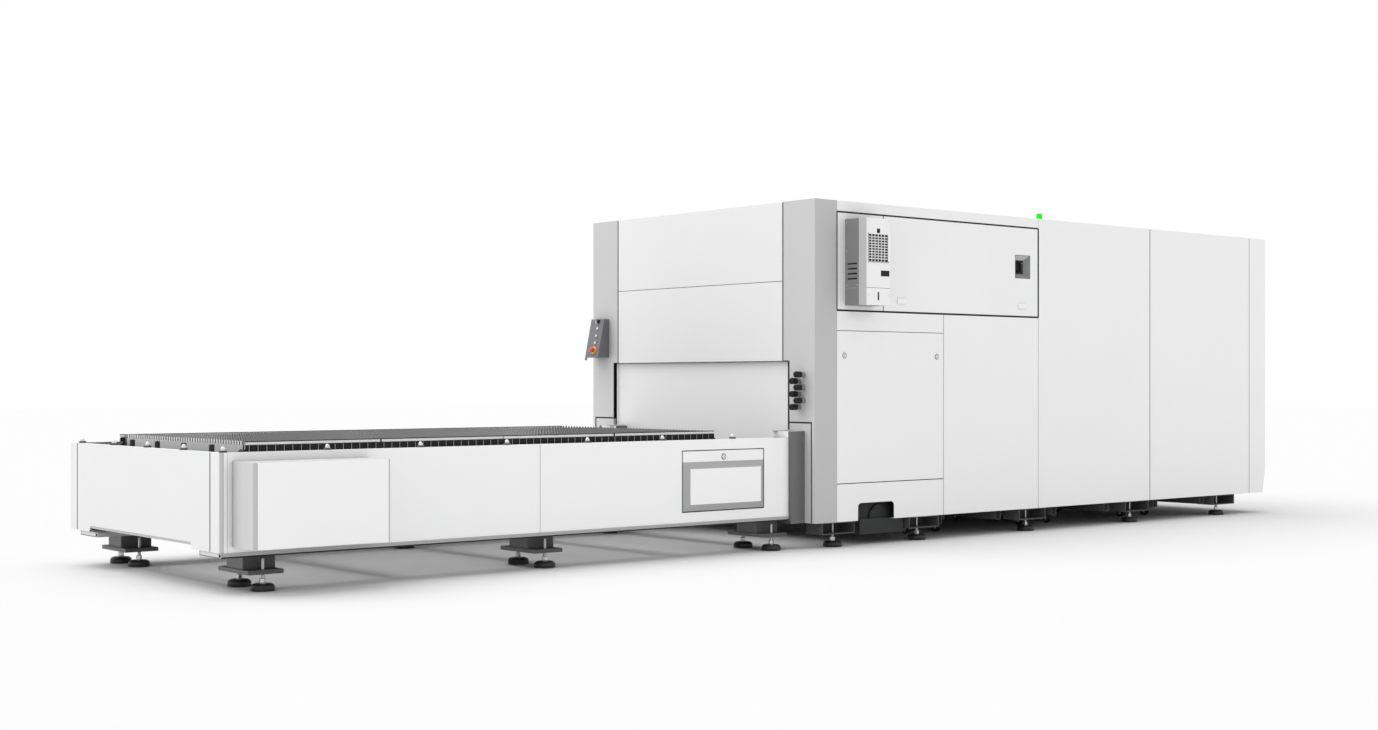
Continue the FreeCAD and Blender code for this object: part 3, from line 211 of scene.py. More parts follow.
coverWhite = finish("coverWhite", (0.90, 0.90, 0.902), 0.03, 1100, 0.36, 0.05, 0.02, contact=0.35)
tableWhite = finish("tableWhite", (0.94, 0.94, 0.942), 0.02, 1100, 0.36, 0.05, 0.01, contact=0.3)
# a darker copy of the table covers' white, painted shade on their end faces
shadedEndWhite = finish("shadedEndWhite", (0.80, 0.80, 0.802), 0.03, 1100, 0.36, 0.05, 0.02, contact=0.2)
doorWhite = finish("doorWhite", (0.95, 0.95, 0.95), 0.02, 1100, 0.36, 0.05, 0.01, contact=0.1)
# a much darker copy of the table covers' white with strong painted shade in corners, painted shade on the motor
# cover's side and top
shadedSideWhite = finish("shadedSideWhite", (0.60, 0.60, 0.605), 0.03, 1100, 0.36, 0.05, 0.02, contact=1.0)
# the pillars' grey in two copies, lighter on their end faces and darker on their sides: painted light and shade
pillarEnd = finish("pillarEnd", (0.64, 0.64, 0.643), 0.04, 1000, 0.38, 0.05, 0.03, contact=0.35)
pillarGrey = finish("pillarGrey", (0.52, 0.52, 0.523), 0.04, 1000, 0.38, 0.05, 0.03, contact=0.3)
bevelGrey = finish("bevelGrey", (0.40, 0.40, 0.405), 0.04, 1000, 0.38, 0.05)
# grey painted as shade on the upright roundings of the table covers and motor cover, as light on the rails' ends and
# the isolator cup's upper wall, and the grey of the stiffener in the end cover's notch
cornerGrey = finish("cornerGrey", (0.50, 0.50, 0.505), 0.03, 1000, 0.36, 0.05)
shellGrey = finish("shellGrey", (0.46, 0.46, 0.465), 0.04, 1000, 0.40, 0.05)
coolerGrey = finish("coolerGrey", (0.235, 0.235, 0.24), 0.08, 1000, 0.42, 0.05)
guardGrey = finish("guardGrey", (0.15, 0.15, 0.155), 0.10, 900, 0.44, 0.06, contact=0.4)
railGrey = finish("railGrey", (0.40, 0.40, 0.405), 0.05, 900, 0.42, 0.06, 0.06)
boxGrey = finish("boxGrey", (0.185, 0.185, 0.19), 0.06, 900, 0.40, 0.06, Specular_IOR_Level=0.3)
plateGrey = finish("plateGrey", (0.21, 0.21, 0.215), 0.06, 900, 0.36, 0.06, Specular_IOR_Level=0.3)
# grey of the brackets above the rails and of the rails' walls, and a lighter copy on the end faces of the table's
# brackets as painted light
bracketGrey = finish("bracketGrey", (0.165, 0.165, 0.17), 0.08, 800, 0.46, 0.08, 0.08, Specular_IOR_Level=0.35)
frameGrey = finish("frameGrey", (0.075, 0.075, 0.078), 0.10, 800, 0.48, 0.08, 0.10, Specular_IOR_Level=0.3)
frameBlack = finish("frameBlack", (0.030, 0.031, 0.033), 0.10, 800, 0.5, 0.08, 0.06, Specular_IOR_Level=0.2)
stripWhite = finish("stripWhite", (0.97, 0.97, 0.97), 0.01, 700, 0.3, 0.02)
slatSteel = finish("slatSteel", (0.30, 0.30, 0.305), 0.12, 420, 0.42, 0.12, metal=0.7, group=slatSurface)
railSteel = finish("railSteel", (0.55, 0.55, 0.56), 0.05, 500, 0.30, 0.06, metal=1.0, group=brushedSurface)
brightSteel = finish("brightSteel", (0.72, 0.72, 0.73), 0.05, 600, 0.12, 0.02, metal=1.0, contact=0.5)
softBlack = finish("softBlack", (0.020, 0.020, 0.022), 0.08, 700, 0.40, 0.08, Specular_IOR_Level=0.2)
# black of the flap's locker and of the cooler's seam, and of the dark plates in the gaps between covers and along the
# near rail's lower edge, which are painted shade
shadeAndSealBlack = finish("shadeAndSealBlack", (0.030, 0.030, 0.031), 0.10, 500, 0.60, 0.12, Specular_IOR_Level=0.1)
padRubber = finish("padRubber", (0.013, 0.013, 0.013), 0.12, 500, 0.34, 0.12, 0.06, Specular_IOR_Level=0.35)
moduleGrey = finish("moduleGrey", (0.42, 0.43, 0.44), 0.04, 800, 0.5, 0.04)
moduleDark = finish("moduleDark", (0.07, 0.075, 0.08), 0.04, 800, 0.5, 0.04)
latchWhite = finish("latchWhite", (0.93, 0.93, 0.92), 0.02, 700, 0.22, 0.02)
buttonWhite = finish("buttonWhite", (0.74, 0.74, 0.84), 0.03, 600, 0.16, 0.02, Coat_Weight=0.4)
stopRed = finish("stopRed", (0.80, 0.035, 0.030), 0.04, 600, 0.26, 0.03, Coat_Weight=0.3)
stopYellow = finish("stopYellow", (0.88, 0.52, 0.10), 0.04, 600, 0.34, 0.03)
buttonPink = finish("buttonPink", (0.30, 0.07, 0.08), 0.05, 600, 0.3, 0.03)
# black of the cooler's display and sensor and of the key slots, and of the dark plates behind the cooler's grille and
# louvres, which are painted shade
displayAndShadeBlack = finish("displayAndShadeBlack", (0.010, 0.010, 0.012), 0.05, 300, 0.20, 0.01, Specular_IOR_Level=0.2)
# green of the signal lamp and of the isolator's mark; on the mark, which is no lamp, its glow is painted light
glowGreen = finish("glowGreen", (0.0, 0.83, 0.0), 0.05, 500, 0.25, 0.03, Emission_Color=(0, 1, 0, 1),
                   Emission_Strength=0.12)
paneGreen = finish("paneGreen", (0.05, 0.30, 0.10), 0.06, 300, 0.06, 0.01, Transmission_Weight=0.7, IOR=1.45)
print("finishes ready")


# shaping tools, in metres
bevels = {"segments": 2, "profile": 0.6, "leastTurn": 0.45, "leastLength": 3, "leastFace": 2.4}


def bevelEdges(work, edges, width):
    bmesh.ops.bevel(work, geom=edges, offset=width, offset_type="OFFSET", segments=bevels["segments"],
                    profile=bevels["profile"], affect="EDGES", clamp_overlap=True)


def faceWidth(face):
    rim = face.calc_perimeter()
    return 2 * face.calc_area() / rim if rim else 0.0


def roundEdges(work, width):
    # Rounds the outer edges between faces that are wide enough to take it.
    chosen = []
    for edge in work.edges:
        if len(edge.link_faces) != 2 or not edge.is_convex or edge.calc_length() < bevels["leastLength"] * width:
            continue
        if edge.calc_face_angle(0) < bevels["leastTurn"]:
            continue
        if min(faceWidth(face) for face in edge.link_faces) > bevels["leastFace"] * width:
            chosen.append(edge)
    if chosen:
        bevelEdges(work, chosen, width)


def settle(mesh, angle=32):
    # Smooth where faces meet gently, sharp elsewhere, with the large faces kept flat.
    mesh.shade_smooth()
    mesh.set_sharp_from_angle(angle=math.radians(angle))
    holder = bpy.data.objects.new("holder", mesh)
    scene.collection.objects.link(holder)
    weighted = holder.modifiers.new("flatFaces", "WEIGHTED_NORMAL")
    weighted.keep_sharp = True
    graph = bpy.context.evaluated_depsgraph_get()
    done = bpy.data.meshes.new_from_object(holder.evaluated_get(graph))
    bpy.data.objects.remove(holder)
    return done


def toMesh(name, work, finishes):
    mesh = bpy.data.meshes.new(name)
    work.to_mesh(mesh)
    work.free()
    for made in finishes:
        mesh.materials.append(made)
    return mesh


def boxInto(work, low, high, width=0.0, index=0):
    # A box between two corners, its edges rounded by width, added to work.
    made = bmesh.new()
    bmesh.ops.create_cube(made, size=1)
    size = Vector(high) - Vector(low)
    middle = (Vector(high) + Vector(low)) / 2
    bmesh.ops.transform(made, matrix=Matrix.Translation(middle) @ Matrix.Diagonal((*size, 1)), verts=made.verts)
    if width:
        bevelEdges(made, made.edges[:], width)
    addInto(work, made, index)


def addInto(work, made, index=0, matrix=None):
    mesh = bpy.data.meshes.new("part")
    for face in made.faces:
        face.material_index = index
        face.smooth = True
    made.to_mesh(mesh)
    made.free()
    if matrix:
        mesh.transform(matrix)
    work.from_mesh(mesh)
    bpy.data.meshes.remove(mesh)


def turned(profile, sides=32):
    # A closed turned shape round Z from (radius, height) pairs, from bottom to top.
    made = bmesh.new()
    rings = []
    for radius, height in profile:
        ring = []
        for step in range(sides):
            angle = 2 * math.pi * step / sides
            ring.append(made.verts.new((radius * math.cos(angle), radius * math.sin(angle), height)))
        rings.append(ring)
    for low, high in zip(rings[:-1], rings[1:]):
        for step in range(sides):
            after = (step + 1) % sides
            made.faces.new((low[step], low[after], high[after], high[step]))
    made.faces.new(list(reversed(rings[0])))
    made.faces.new(rings[-1])
    return made


def aim(place, direction):
    # Puts a shape that was drawn along +Z at a place, pointing along a direction.
    turn = Vector(direction).to_track_quat("Z", "Y").to_matrix().to_4x4()
    return Matrix.Translation(Vector(place)) @ turn


def turnInto(work, profile, sides, place, direction, index=0):
    addInto(work, turned(profile, sides), index, aim(place, direction))


def show(name, mesh, body, nodes, slot):
    thing = bpy.data.objects.new(name, mesh)
    scene.collection.objects.link(thing)
    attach(thing, body)
    if nodes:
        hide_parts(*nodes)


def showWork(name, work, finishes, body, nodes, slot):
    show(name, settle(toMesh(name, work, finishes)), body, nodes, slot)


def showNode(node, ending, work, finishes):
    # A piece that stands for one node, with the node's body.
    showWork(node + ending, work, finishes, bodyOf[node], (node,), slotOf[node])


def nodeWork(node):
    # The node's own solids with their corners merged.
    work = bmesh.new()
    work.from_mesh(frame["nodes"][node].data)
    bmesh.ops.remove_doubles(work, verts=work.verts[:], dist=0.00001)
    return work


def dress(node, finishes, width=0.0015, pick=None):
    # The node's own sheet or casting with rounded edges and its finishes.
    work = nodeWork(node)
    bmesh.ops.dissolve_limit(work, angle_limit=math.radians(0.5), verts=work.verts[:], edges=work.edges[:],
                             delimit={"NORMAL"})
    roundEdges(work, width)
    for face in work.faces:
        face.material_index = pick(face.calc_center_median(), face.normal) if pick else 0
    showNode(node, "_dressed", work, finishes)


def islandsOf(work):
    # Lists of corners that hang together, always in the same order.
    seen = set()
    groups = []
    for first in work.verts:
        if first in seen:
            continue
        seen.add(first)
        group = [first]
        for vertex in group:
            for edge in vertex.link_edges:
                other = edge.other_vert(vertex)
                if other not in seen:
                    seen.add(other)
                    group.append(other)
        groups.append(group)
    return groups


def boxOf(vertices):
    low = Vector([min(v.co[i] for v in vertices) for i in range(3)])
    high = Vector([max(v.co[i] for v in vertices) for i in range(3)])
    return low, high


def islandBoxes(node):
    # Lowest and highest corners of each separate solid in a node.
    work = nodeWork(node)
    boxes = [boxOf(group) for group in islandsOf(work)]
    work.free()
    return boxes


def footOf(low, high, height):
    # The middle of a box seen from above, at a height.
    return Vector(((low.x + high.x) / 2, (low.y + high.y) / 2, height))


# node trees for what repeats
def repeatTree(name, **inputs):
    return openTree(name, "GeometryNodeTree", {"Geometry": "Geometry", "Piece": "Object", **inputs,
                                               "Seed": "Int", "Finish": "Material"}, {"Geometry": "Geometry"})


def pieceIn(tree, given):
    return nodeIn(tree, "GeometryNodeObjectInfo", {"Object": given["Piece"]},
                  transform_space="ORIGINAL").outputs["Geometry"]


def endTree(tree, given, instances):
    # Realize Instances, then Set Material.
    real = nodeIn(tree, "GeometryNodeRealizeInstances", {"Geometry": instances})
    paint = nodeIn(tree, "GeometryNodeSetMaterial", {"Geometry": real.outputs["Geometry"],
                                                     "Material": given["Finish"]})
    nodeIn(tree, "NodeGroupOutput", {"Geometry": paint.outputs["Geometry"]})


def makeRowTree():
    # A row of copies: count, first place, step, and a little unevenness.
    tree = repeatTree("rowOfPieces", Count="Int", First="Vector", Step="Vector", Lean="Float")
    given = nodeIn(tree, "NodeGroupInput").outputs
    line = nodeIn(tree, "GeometryNodeMeshLine", {"Count": given["Count"], "Start Location": given["First"],
                                                 "Offset": given["Step"]}, mode="OFFSET")
    lowest, highest = (nodeIn(tree, "ShaderNodeVectorMath", {0: (0, way, 0), "Scale": given["Lean"]},
                              operation="SCALE").outputs["Vector"] for way in (-1, 1))
    uneven = nodeIn(tree, "FunctionNodeRandomValue", {"Min": lowest, "Max": highest, "Seed": given["Seed"]},
                    data_type="FLOAT_VECTOR")
    copies = nodeIn(tree, "GeometryNodeInstanceOnPoints", {"Points": line.outputs["Mesh"],
                                                           "Instance": pieceIn(tree, given),
                                                           "Rotation": uneven.outputs["Value"]})
    endTree(tree, given, copies.outputs["Instances"])
    return tree


def makeSpotTree():
    # Copies at the points of a mesh, all turned one way and spun about their own axes at random.
    tree = repeatTree("piecesAtSpots", Turn="Rotation", Spin="Float")
    given = nodeIn(tree, "NodeGroupInput").outputs
    copies = nodeIn(tree, "GeometryNodeInstanceOnPoints", {"Points": given["Geometry"],
                                                           "Instance": pieceIn(tree, given),
                                                           "Rotation": given["Turn"]})
    # input 3 is the highest value of a float draw, output 1 its result
    spin = nodeIn(tree, "FunctionNodeRandomValue", {"Min": 0.0, 3: given["Spin"], "Seed": given["Seed"]},
                  data_type="FLOAT")
    about = nodeIn(tree, "ShaderNodeCombineXYZ", {"Z": spin.outputs[1]})
    turn = nodeIn(tree, "GeometryNodeRotateInstances", {"Local Space": True, "Instances": copies.outputs["Instances"],
                                                        "Rotation": about.outputs["Vector"]})
    endTree(tree, given, turn.outputs["Instances"])
    return tree


rowTree = makeRowTree()
spotTree = makeSpotTree()
fullTurn = 6.28


def runTree(name, tree, shape, values, base=None):
    # The tree's result as a plain mesh, from a shape that it repeats.
    piece = bpy.data.objects.new(name + "Seed", settle(toMesh(name + "Seed", shape, [])))
    scene.collection.objects.link(piece)
    carrier = bpy.data.objects.new(name, base or bpy.data.meshes.new(name))
    scene.collection.objects.link(carrier)
    modifier = carrier.modifiers.new("repeat", "NODES")
    modifier.node_group = tree
    values["Piece"] = piece
    for item in tree.interface.items_tree:
        if item.in_out == "INPUT" and item.name in values:
            modifier[item.identifier] = values[item.name]
    graph = bpy.context.evaluated_depsgraph_get()
    mesh = bpy.data.meshes.new_from_object(carrier.evaluated_get(graph))
    bpy.data.objects.remove(carrier)
    bpy.data.objects.remove(piece)
    return mesh


def row(name, shape, count, first, step, made, lean=0.0, seed=1):
    return runTree(name, rowTree, shape, {"Count": count, "First": first, "Step": step, "Lean": lean,
                                          "Seed": seed, "Finish": made})


def spots(name, shape, places, made, turn=(0, 0, 0), spin=0.0, seed=1):
    base = bpy.data.meshes.new(name + "Spots")
    base.from_pydata([tuple(place) for place in places], [], [])
    return runTree(name, spotTree, shape, {"Turn": turn, "Spin": spin, "Seed": seed, "Finish": made}, base)


def joined(name, meshes):
    # Several meshes as one, each keeping its finish.
    work = bmesh.new()
    finishes = []
    for mesh in meshes:
        index = {}
        for number, made in enumerate(mesh.materials):
            if made not in finishes:
                finishes.append(made)
            index[number] = finishes.index(made)
        before = len(work.faces)
        work.from_mesh(mesh)
        work.faces.ensure_lookup_table()
        for face in work.faces[before:]:
            face.material_index = index.get(face.material_index, 0)
    mesh = bpy.data.meshes.new(name)
    work.to_mesh(mesh)
    work.free()
    for made in finishes:
        mesh.materials.append(made)
    return mesh


print("tools ready")


# hall covers, doors and cabinet
covers = {"round": 0.002, "deviceFront": -0.72, "tableEnd": -3918.5}


def litEndFaces(middle, normal):
    # faces turned to the table's end take the second finish, a lighter copy: painted light on the end faces
    return 1 if normal.x < -0.5 else 0


def uprightRound(normal):
    # upright roundings between end and side faces, painted grey as shade
    return abs(normal.z) < 0.2 and 0.25 < abs(normal.x) < 0.96 and normal.y < -0.25


def coverShade(middle, normal):
    # upright roundings are painted grey as shade and the stiffener in the end cover's notch is greyer; other end faces
    # are painted a little less white as shade
    inNotch = normal.x < -0.5 and middle.x > at(covers["tableEnd"], 0, 0).x
    if uprightRound(normal) or inNotch:
        return 1
    return 2 if normal.x < -0.5 else 0


def motorShade(middle, normal):
    # upright roundings painted grey, the side and top in a darker white: painted shade
    if uprightRound(normal):
        return 1
    return 2 if normal.x < -0.5 or normal.z > 0.5 else 0


def flapShade(middle, normal):
    # leaning frame round the flap's flat middle
    return 1 if abs(normal.x) > 0.2 or abs(normal.z) > 0.2 else 0


def deviceShade(middle, normal):
    return 1 if middle.y < covers["deviceFront"] else 0


def coverSet():
    for node, made in (("hall_covers", coverWhite), ("far_end_hood", coverWhite), ("access_door", coverWhite),
                       ("cabinet_door", coverWhite), ("operator_door", coverWhite), ("roof_covers", pillarEnd),
                       ("cabinet_shell", shellGrey), ("lift_door", doorWhite), ("flap_locker", shadeAndSealBlack)):
        dress(node, [made], covers["round"])
    # pillars' end faces take the lighter grey as painted light; roundings and end, side and top faces of the table
    # covers and motor cover take darker tones as painted shade
    for node, finishes, pick in (("corner_pillars", [pillarGrey, pillarEnd], litEndFaces),
                                 ("cabinet_modules", [moduleGrey, moduleDark], deviceShade),
                                 ("table_covers", [tableWhite, cornerGrey, shadedEndWhite], coverShade),
                                 ("motor_cover", [tableWhite, cornerGrey, shadedSideWhite], motorShade)):
        dress(node, finishes, covers["round"], pick)
    dress("tool_flap", [tableWhite, bevelGrey], pick=flapShade)


coverSet()


# dark plates in the gaps between covers, painted shade that keeps the gaps dark, in millimetres from the hall's near
# corner
gapShadeSet = {"depth": 6.0, "recess": 0.8, "proud": 0.35, "lip": 4.5, "tableFace": 115}
# low and high x, low and high z on the hall's long side, and the side of the fixed cover that takes a lip
sideGaps = [(195, 2187, 2124.4, 2130, "top"), (195, 2187, 1502.5, 1509.6, "low"), (195, 201, 1503, 2130, "left"),
            (2178.4, 2187.5, 1503, 2130, "right"), (616.5, 619.1, 1510, 2124, "left"),
            (196, 1194, 1373, 1377, ""), (196, 1194, 399.5, 404.5, "proud"), (1193.6, 1196.4, 160, 400, ""),
            (1193.9, 1196.5, 1376, 1502, ""), (1194.4, 1196.5, 403, 1374, ""), (2184.5, 2187.5, 160, 1502, ""),
            (3498.5, 3501.5, 160, 2198, "left"), (4818.5, 4821.5, 160, 2198, "")]
# low and high y, low and high z on end faces, the face's x, and whether a lip covers the line's sides
endGaps = [(289.3, 298.7, 1186, 2196, 0, False), (2011.3, 2020.7, 1186, 2196, 0, False),
           (300, 2010, 1691.5, 1694.5, 0, False), (26, 34.5, 162, 797, 0, True),
           (31, 238, 789, 797, 0, True), (2275.5, 2284, 162, 797, 0, True), (2072, 2279, 789, 797, 0, True),
           (231, 240, 210, 701, -3920, True), (1968, 1977, 210, 701, -3920, True),
           (231, 246, 702, 1183, 0, True)]
# low and high x, low and high z of thin lines on the table's long side, round the flap and its locker
flapGaps = [(-985.5, -981.5, 269, 640), (-329.5, -325.5, 269, 640), (-985.5, -325.5, 268.5, 272.5),
            (-985.5, -325.5, 636.5, 640), (-983, -328, 549.5, 552)]
# corners, rounding and finish of the line over the lift door, the pale strip beside it and the dark plate that joins
# the strip to the pillar, then of the pale sheets on the guards' faces above the table; the dark line and plate are
# painted shade
edgeStrips = [((8, 262, 1181), (30, 2048, 1186.5), 0, 0), ((22, 2047, 664), (31.5, 2057, 1180), 0.001, 1),
              ((24, 2056, 664), (31, 2071, 1180), 0, 0), ((-118, 118, 703), (-116.5, 281, 739), 0.0005, 1),
              ((-118, 1889, 703), (-116.5, 2052, 739), 0.0005, 1)]


def gapShadeAndStrips():
    work = bmesh.new()
    depth, recess, proud, lip, tableFace = gapShadeSet.values()
    for left, right, low, high, side in sideGaps:
        boxInto(work, at(left, recess, low), at(right, depth, high))
        if side:
            lips = {"top": (left, high - 1, right, high + lip), "low": (left, low - lip, right, low + 1),
                    "left": (left - lip, low, left + 1, high), "right": (right - 1, low, right + lip, high),
                    "proud": (left, low, right, high)}
            x, z, farX, farZ = lips[side]
            boxInto(work, at(x, -proud, z), at(farX, recess, farZ))
    for near, far, low, high, x, covered in endGaps:
        boxInto(work, at(x - proud if covered else x + recess, near, low), at(x + 2, far, high))
    for left, right, low, high in flapGaps:
        boxInto(work, at(left, tableFace - proud, low), at(right, tableFace + 1, high))
    for low, high, width, index in edgeStrips:
        boxInto(work, at(*low), at(*high), width, index)
    showWork("gap_seals", work, [shadeAndSealBlack, doorWhite], "machine", (), "rubber")


gapShadeAndStrips()
print("covers ready")


# cooling unit in mm from the hall's near corner, places (x, z) in front and (y, z) on the side; a screw's radius and
# height in metres
cooler = {"front": -173, "side": 267, "seam": 1644, "seamWidth": 2.0,
          "frontScrew": (0.0045, 0.0016), "sideScrew": (0.005, 0.002),
          "frontScrews": ((302, 1597), (302, 2066), (482, 1597), (482, 2066)),
          "sideScrews": ((-13, 2061), (-13, 1878), (-13, 1662), (-106, 1662))}
grille = {"left": 305, "right": 479, "low": 1812, "high": 1983, "columns": 6, "rows": 10, "lip": 7, "proud": 3.0}
louvres = {"count": 4, "low": 1703, "pitch": 31.7, "near": -107, "far": -21}


def coolerShade(middle, normal):
    # bevels between the grey sides and the white front
    return 1 if -0.95 < normal.y < -0.3 else 0


def screwInto(work, place, direction, radius, height):
    wall, shoulder = height / 2 - 0.0002, height - 0.0002
    turnInto(work, [(radius, 0), (radius, wall), (radius * 0.8, shoulder), (0.001, height)], 16, place, direction, 3)


def coolingUnit():
    dress("cooler_housing", [coolerGrey, bevelGrey], 0.002, pick=coolerShade)
    dress("cooler_front", [coverWhite, pillarGrey], pick=coolerShade)
    face, side = cooler["front"], cooler["side"]
    work = bmesh.new()
    # dark plate behind the openings, painted shade
    boxInto(work, at(292, face + 8, 1560), at(492, face + 10, 2050), 0.001)
    # dark shade between the grille's bars
    left, right, low, high = (grille[key] for key in ("left", "right", "low", "high"))
    wide, tall = (right - left) / grille["columns"], (high - low) / grille["rows"]
    for column in range(grille["columns"]):
        for rowNumber in range(grille["rows"]):
            x, z = left + wide * column, low + tall * rowNumber
            boxInto(work, at(x + 5.5, face + 0.6, z + 4), at(x + wide - 4.5, face + 1.2, z + tall - 4))
    # raised lip on the grille's left and lower side, display glass, sensor
    lip, proud = grille["lip"], grille["proud"]
    boxInto(work, at(left - lip, face - proud, low - lip), at(left, face + 0.5, high + lip), 0.001, 2)
    boxInto(work, at(left, face - proud, low - lip), at(right + lip, face + 0.5, low), 0.001, 2)
    boxInto(work, at(414, face - 0.8, 1719), at(491, face + 1.4, 1756), 0.0015)
    boxInto(work, at(380, face - 0.6, 1992), at(406, face + 1.4, 2019), 0.002)
    # seam round the unit
    low, high = cooler["seam"] - cooler["seamWidth"] / 2, cooler["seam"] + cooler["seamWidth"] / 2
    boxInto(work, at(285, face - 0.2, low), at(499, face + 1, high), 0, 1)
    boxInto(work, at(side - 0.2, -123, low), at(side + 1, -1, high), 0, 2)
    for x, z in cooler["frontScrews"]:
        screwInto(work, at(x, face + 0.4, z), (0, -1, 0), *cooler["frontScrew"])
    for y, z in cooler["sideScrews"]:
        screwInto(work, at(side + 0.3, y, z), (-1, 0, 0), *cooler["sideScrew"])
    # pressed louvres on the near side: a hood over each slot, with a dark plate behind it as painted shade
    near, far = louvres["near"], louvres["far"]
    for number in range(louvres["count"]):
        z = louvres["low"] + louvres["pitch"] * number
        boxInto(work, at(side - 3.5, near, z + 4), at(side + 0.5, far, z + 9), 0.0015, 4)
        boxInto(work, at(side + 3.5, near - 1, z - 7), at(side + 4.5, far + 1, z + 7))
    finishes = [displayAndShadeBlack, shadeAndSealBlack, bevelGrey, brightSteel, coolerGrey]
    showWork("cooler_details", work, finishes, "machine", (), "grey_paint")


coolingUnit()


# locks, latches and the isolator's handle
lockSet = {"radius": 0.015, "slotLong": 0.0075, "slotWide": 0.0012, "slotHeight": 0.0022, "shaft": 0.0078,
           "camWide": 0.007, "camLow": 0.008, "camThick": 0.003}
nearSide = Vector((0, -1, 0))


def quarterLock(node, place, out):
    radius, height = lockSet["radius"], lockSet["slotHeight"]
    work = bmesh.new()
    ring = [(radius, 0), (radius, 0.0018), (radius * 0.9, 0.003), (radius * 0.66, 0.0032), (radius * 0.62, height),
            (0.002, height)]
    turnInto(work, ring, 40, place, out)
    gasket = [(radius, 0), (radius * 1.22, 0), (radius * 1.22, 0.0011), (radius, 0.0012)]
    turnInto(work, gasket, 40, place, out, 1)
    turnInto(work, [(lockSet["shaft"], -0.03), (lockSet["shaft"], 0.001)], 24, place, out)
    # slot for the key, then the cam behind the cover
    half = Vector((lockSet["slotWide"], 0, lockSet["slotLong"]))
    middle = place + out * height
    ends = (middle - half - out * 0.0006, middle + half + out * 0.0004)
    boxInto(work, [min(pair) for pair in zip(*ends)], [max(pair) for pair in zip(*ends)], 0.0003, 1)
    back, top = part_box(node)[1].y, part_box(node)[1].z
    boxInto(work, (place.x - lockSet["camWide"], back - lockSet["camThick"], place.z - lockSet["camLow"]),
            (place.x + lockSet["camWide"], back, top), 0.0008)
    showNode(node, "_turned", work, [brightSteel, displayAndShadeBlack])


for node, x in (("access_lock_left", 262.5), ("access_lock_right", 1127.5)):
    quarterLock(node, at(x, -0.4, 1217), nearSide)
quarterLock("flap_lock", at(-655.5, 114.6, 596.5), nearSide)
for node in ("cabinet_latch_left", "cabinet_latch_right"):
    dress(node, [latchWhite], 0.0012)


def cupShade(middle, normal):
    # dark floor, grey leaning walls, the upper one painted lighter as painted light
    if normal.z < -0.3 and middle.y > hallCorner.y + 0.002:
        return 2
    return 1 if abs(normal.x) > 0.3 or abs(normal.z) > 0.3 else 0


dress("isolator_cup", [softBlack, coolerGrey, cornerGrey], 0.0008, pick=cupShade)


isolator = {"place": (2014.5, 37.6, 1853), "gripHalf": (0.009, 0.033), "gripFrom": 0.008, "gripTo": 0.030,
            "mark": 0.024, "shaft": 0.0078}


def isolatorHandle():
    work = bmesh.new()
    place = at(*isolator["place"])
    wide, tall = isolator["gripHalf"]
    turnInto(work, [(0.036, 0), (0.036, 0.006), (0.033, 0.0095), (0.02, 0.01)], 48, place, nearSide)
    boxInto(work, place + Vector((-wide, -isolator["gripTo"], -tall)),
            place + Vector((wide, -isolator["gripFrom"], tall)), 0.004)
    turnInto(work, [(isolator["shaft"], -0.013), (isolator["shaft"], 0.001)], 24, place, nearSide)
    # green mark on the grip, whose glow is painted light
    mark = place + Vector((0, 0.0005 - isolator["gripTo"], isolator["mark"]))
    turnInto(work, [(0.003, 0.0), (0.003, 0.001), (0.0015, 0.0016)], 16, mark, nearSide, 1)
    showWork("isolator_handle", work, [softBlack, glowGreen], "isolator_knob", ("isolator_knob",), "black_plastic")


isolatorHandle()
print("locks ready")


# control box: leaning plate with key switch, three buttons and the stop button
panel = {"slope": 11.87, "top": (-42, 1500), "middleY": 2177, "drops": {"start": 71, "exchange": 124, "reset": 176},
         "keyDrop": 18, "stopDrop": 230, "front": 3.1, "collarHigh": 7, "collarReach": 0.034}


def onPanel(drop, out=0.0):
    # a place on the leaning plate, out millimetres in front of its back face, and the plate's outward direction
    slope = math.radians(panel["slope"])
    down = Vector((-math.sin(slope), 0, -math.cos(slope)))
    outward = Vector((-math.cos(slope), 0, math.sin(slope)))
    start = at(panel["top"][0], panel["middleY"], panel["top"][1])
    return start + down * drop / 1000 + outward * out / 1000, outward


def plateShade(middle, normal):
    # yellow collar round the stop button
    reach = (middle - onPanel(panel["stopDrop"], panel["collarHigh"])[0]).length
    start, outward = onPanel(0, panel["front"] + 0.3)
    return 1 if reach < panel["collarReach"] and (middle - start).dot(outward) > 0.0004 else 0


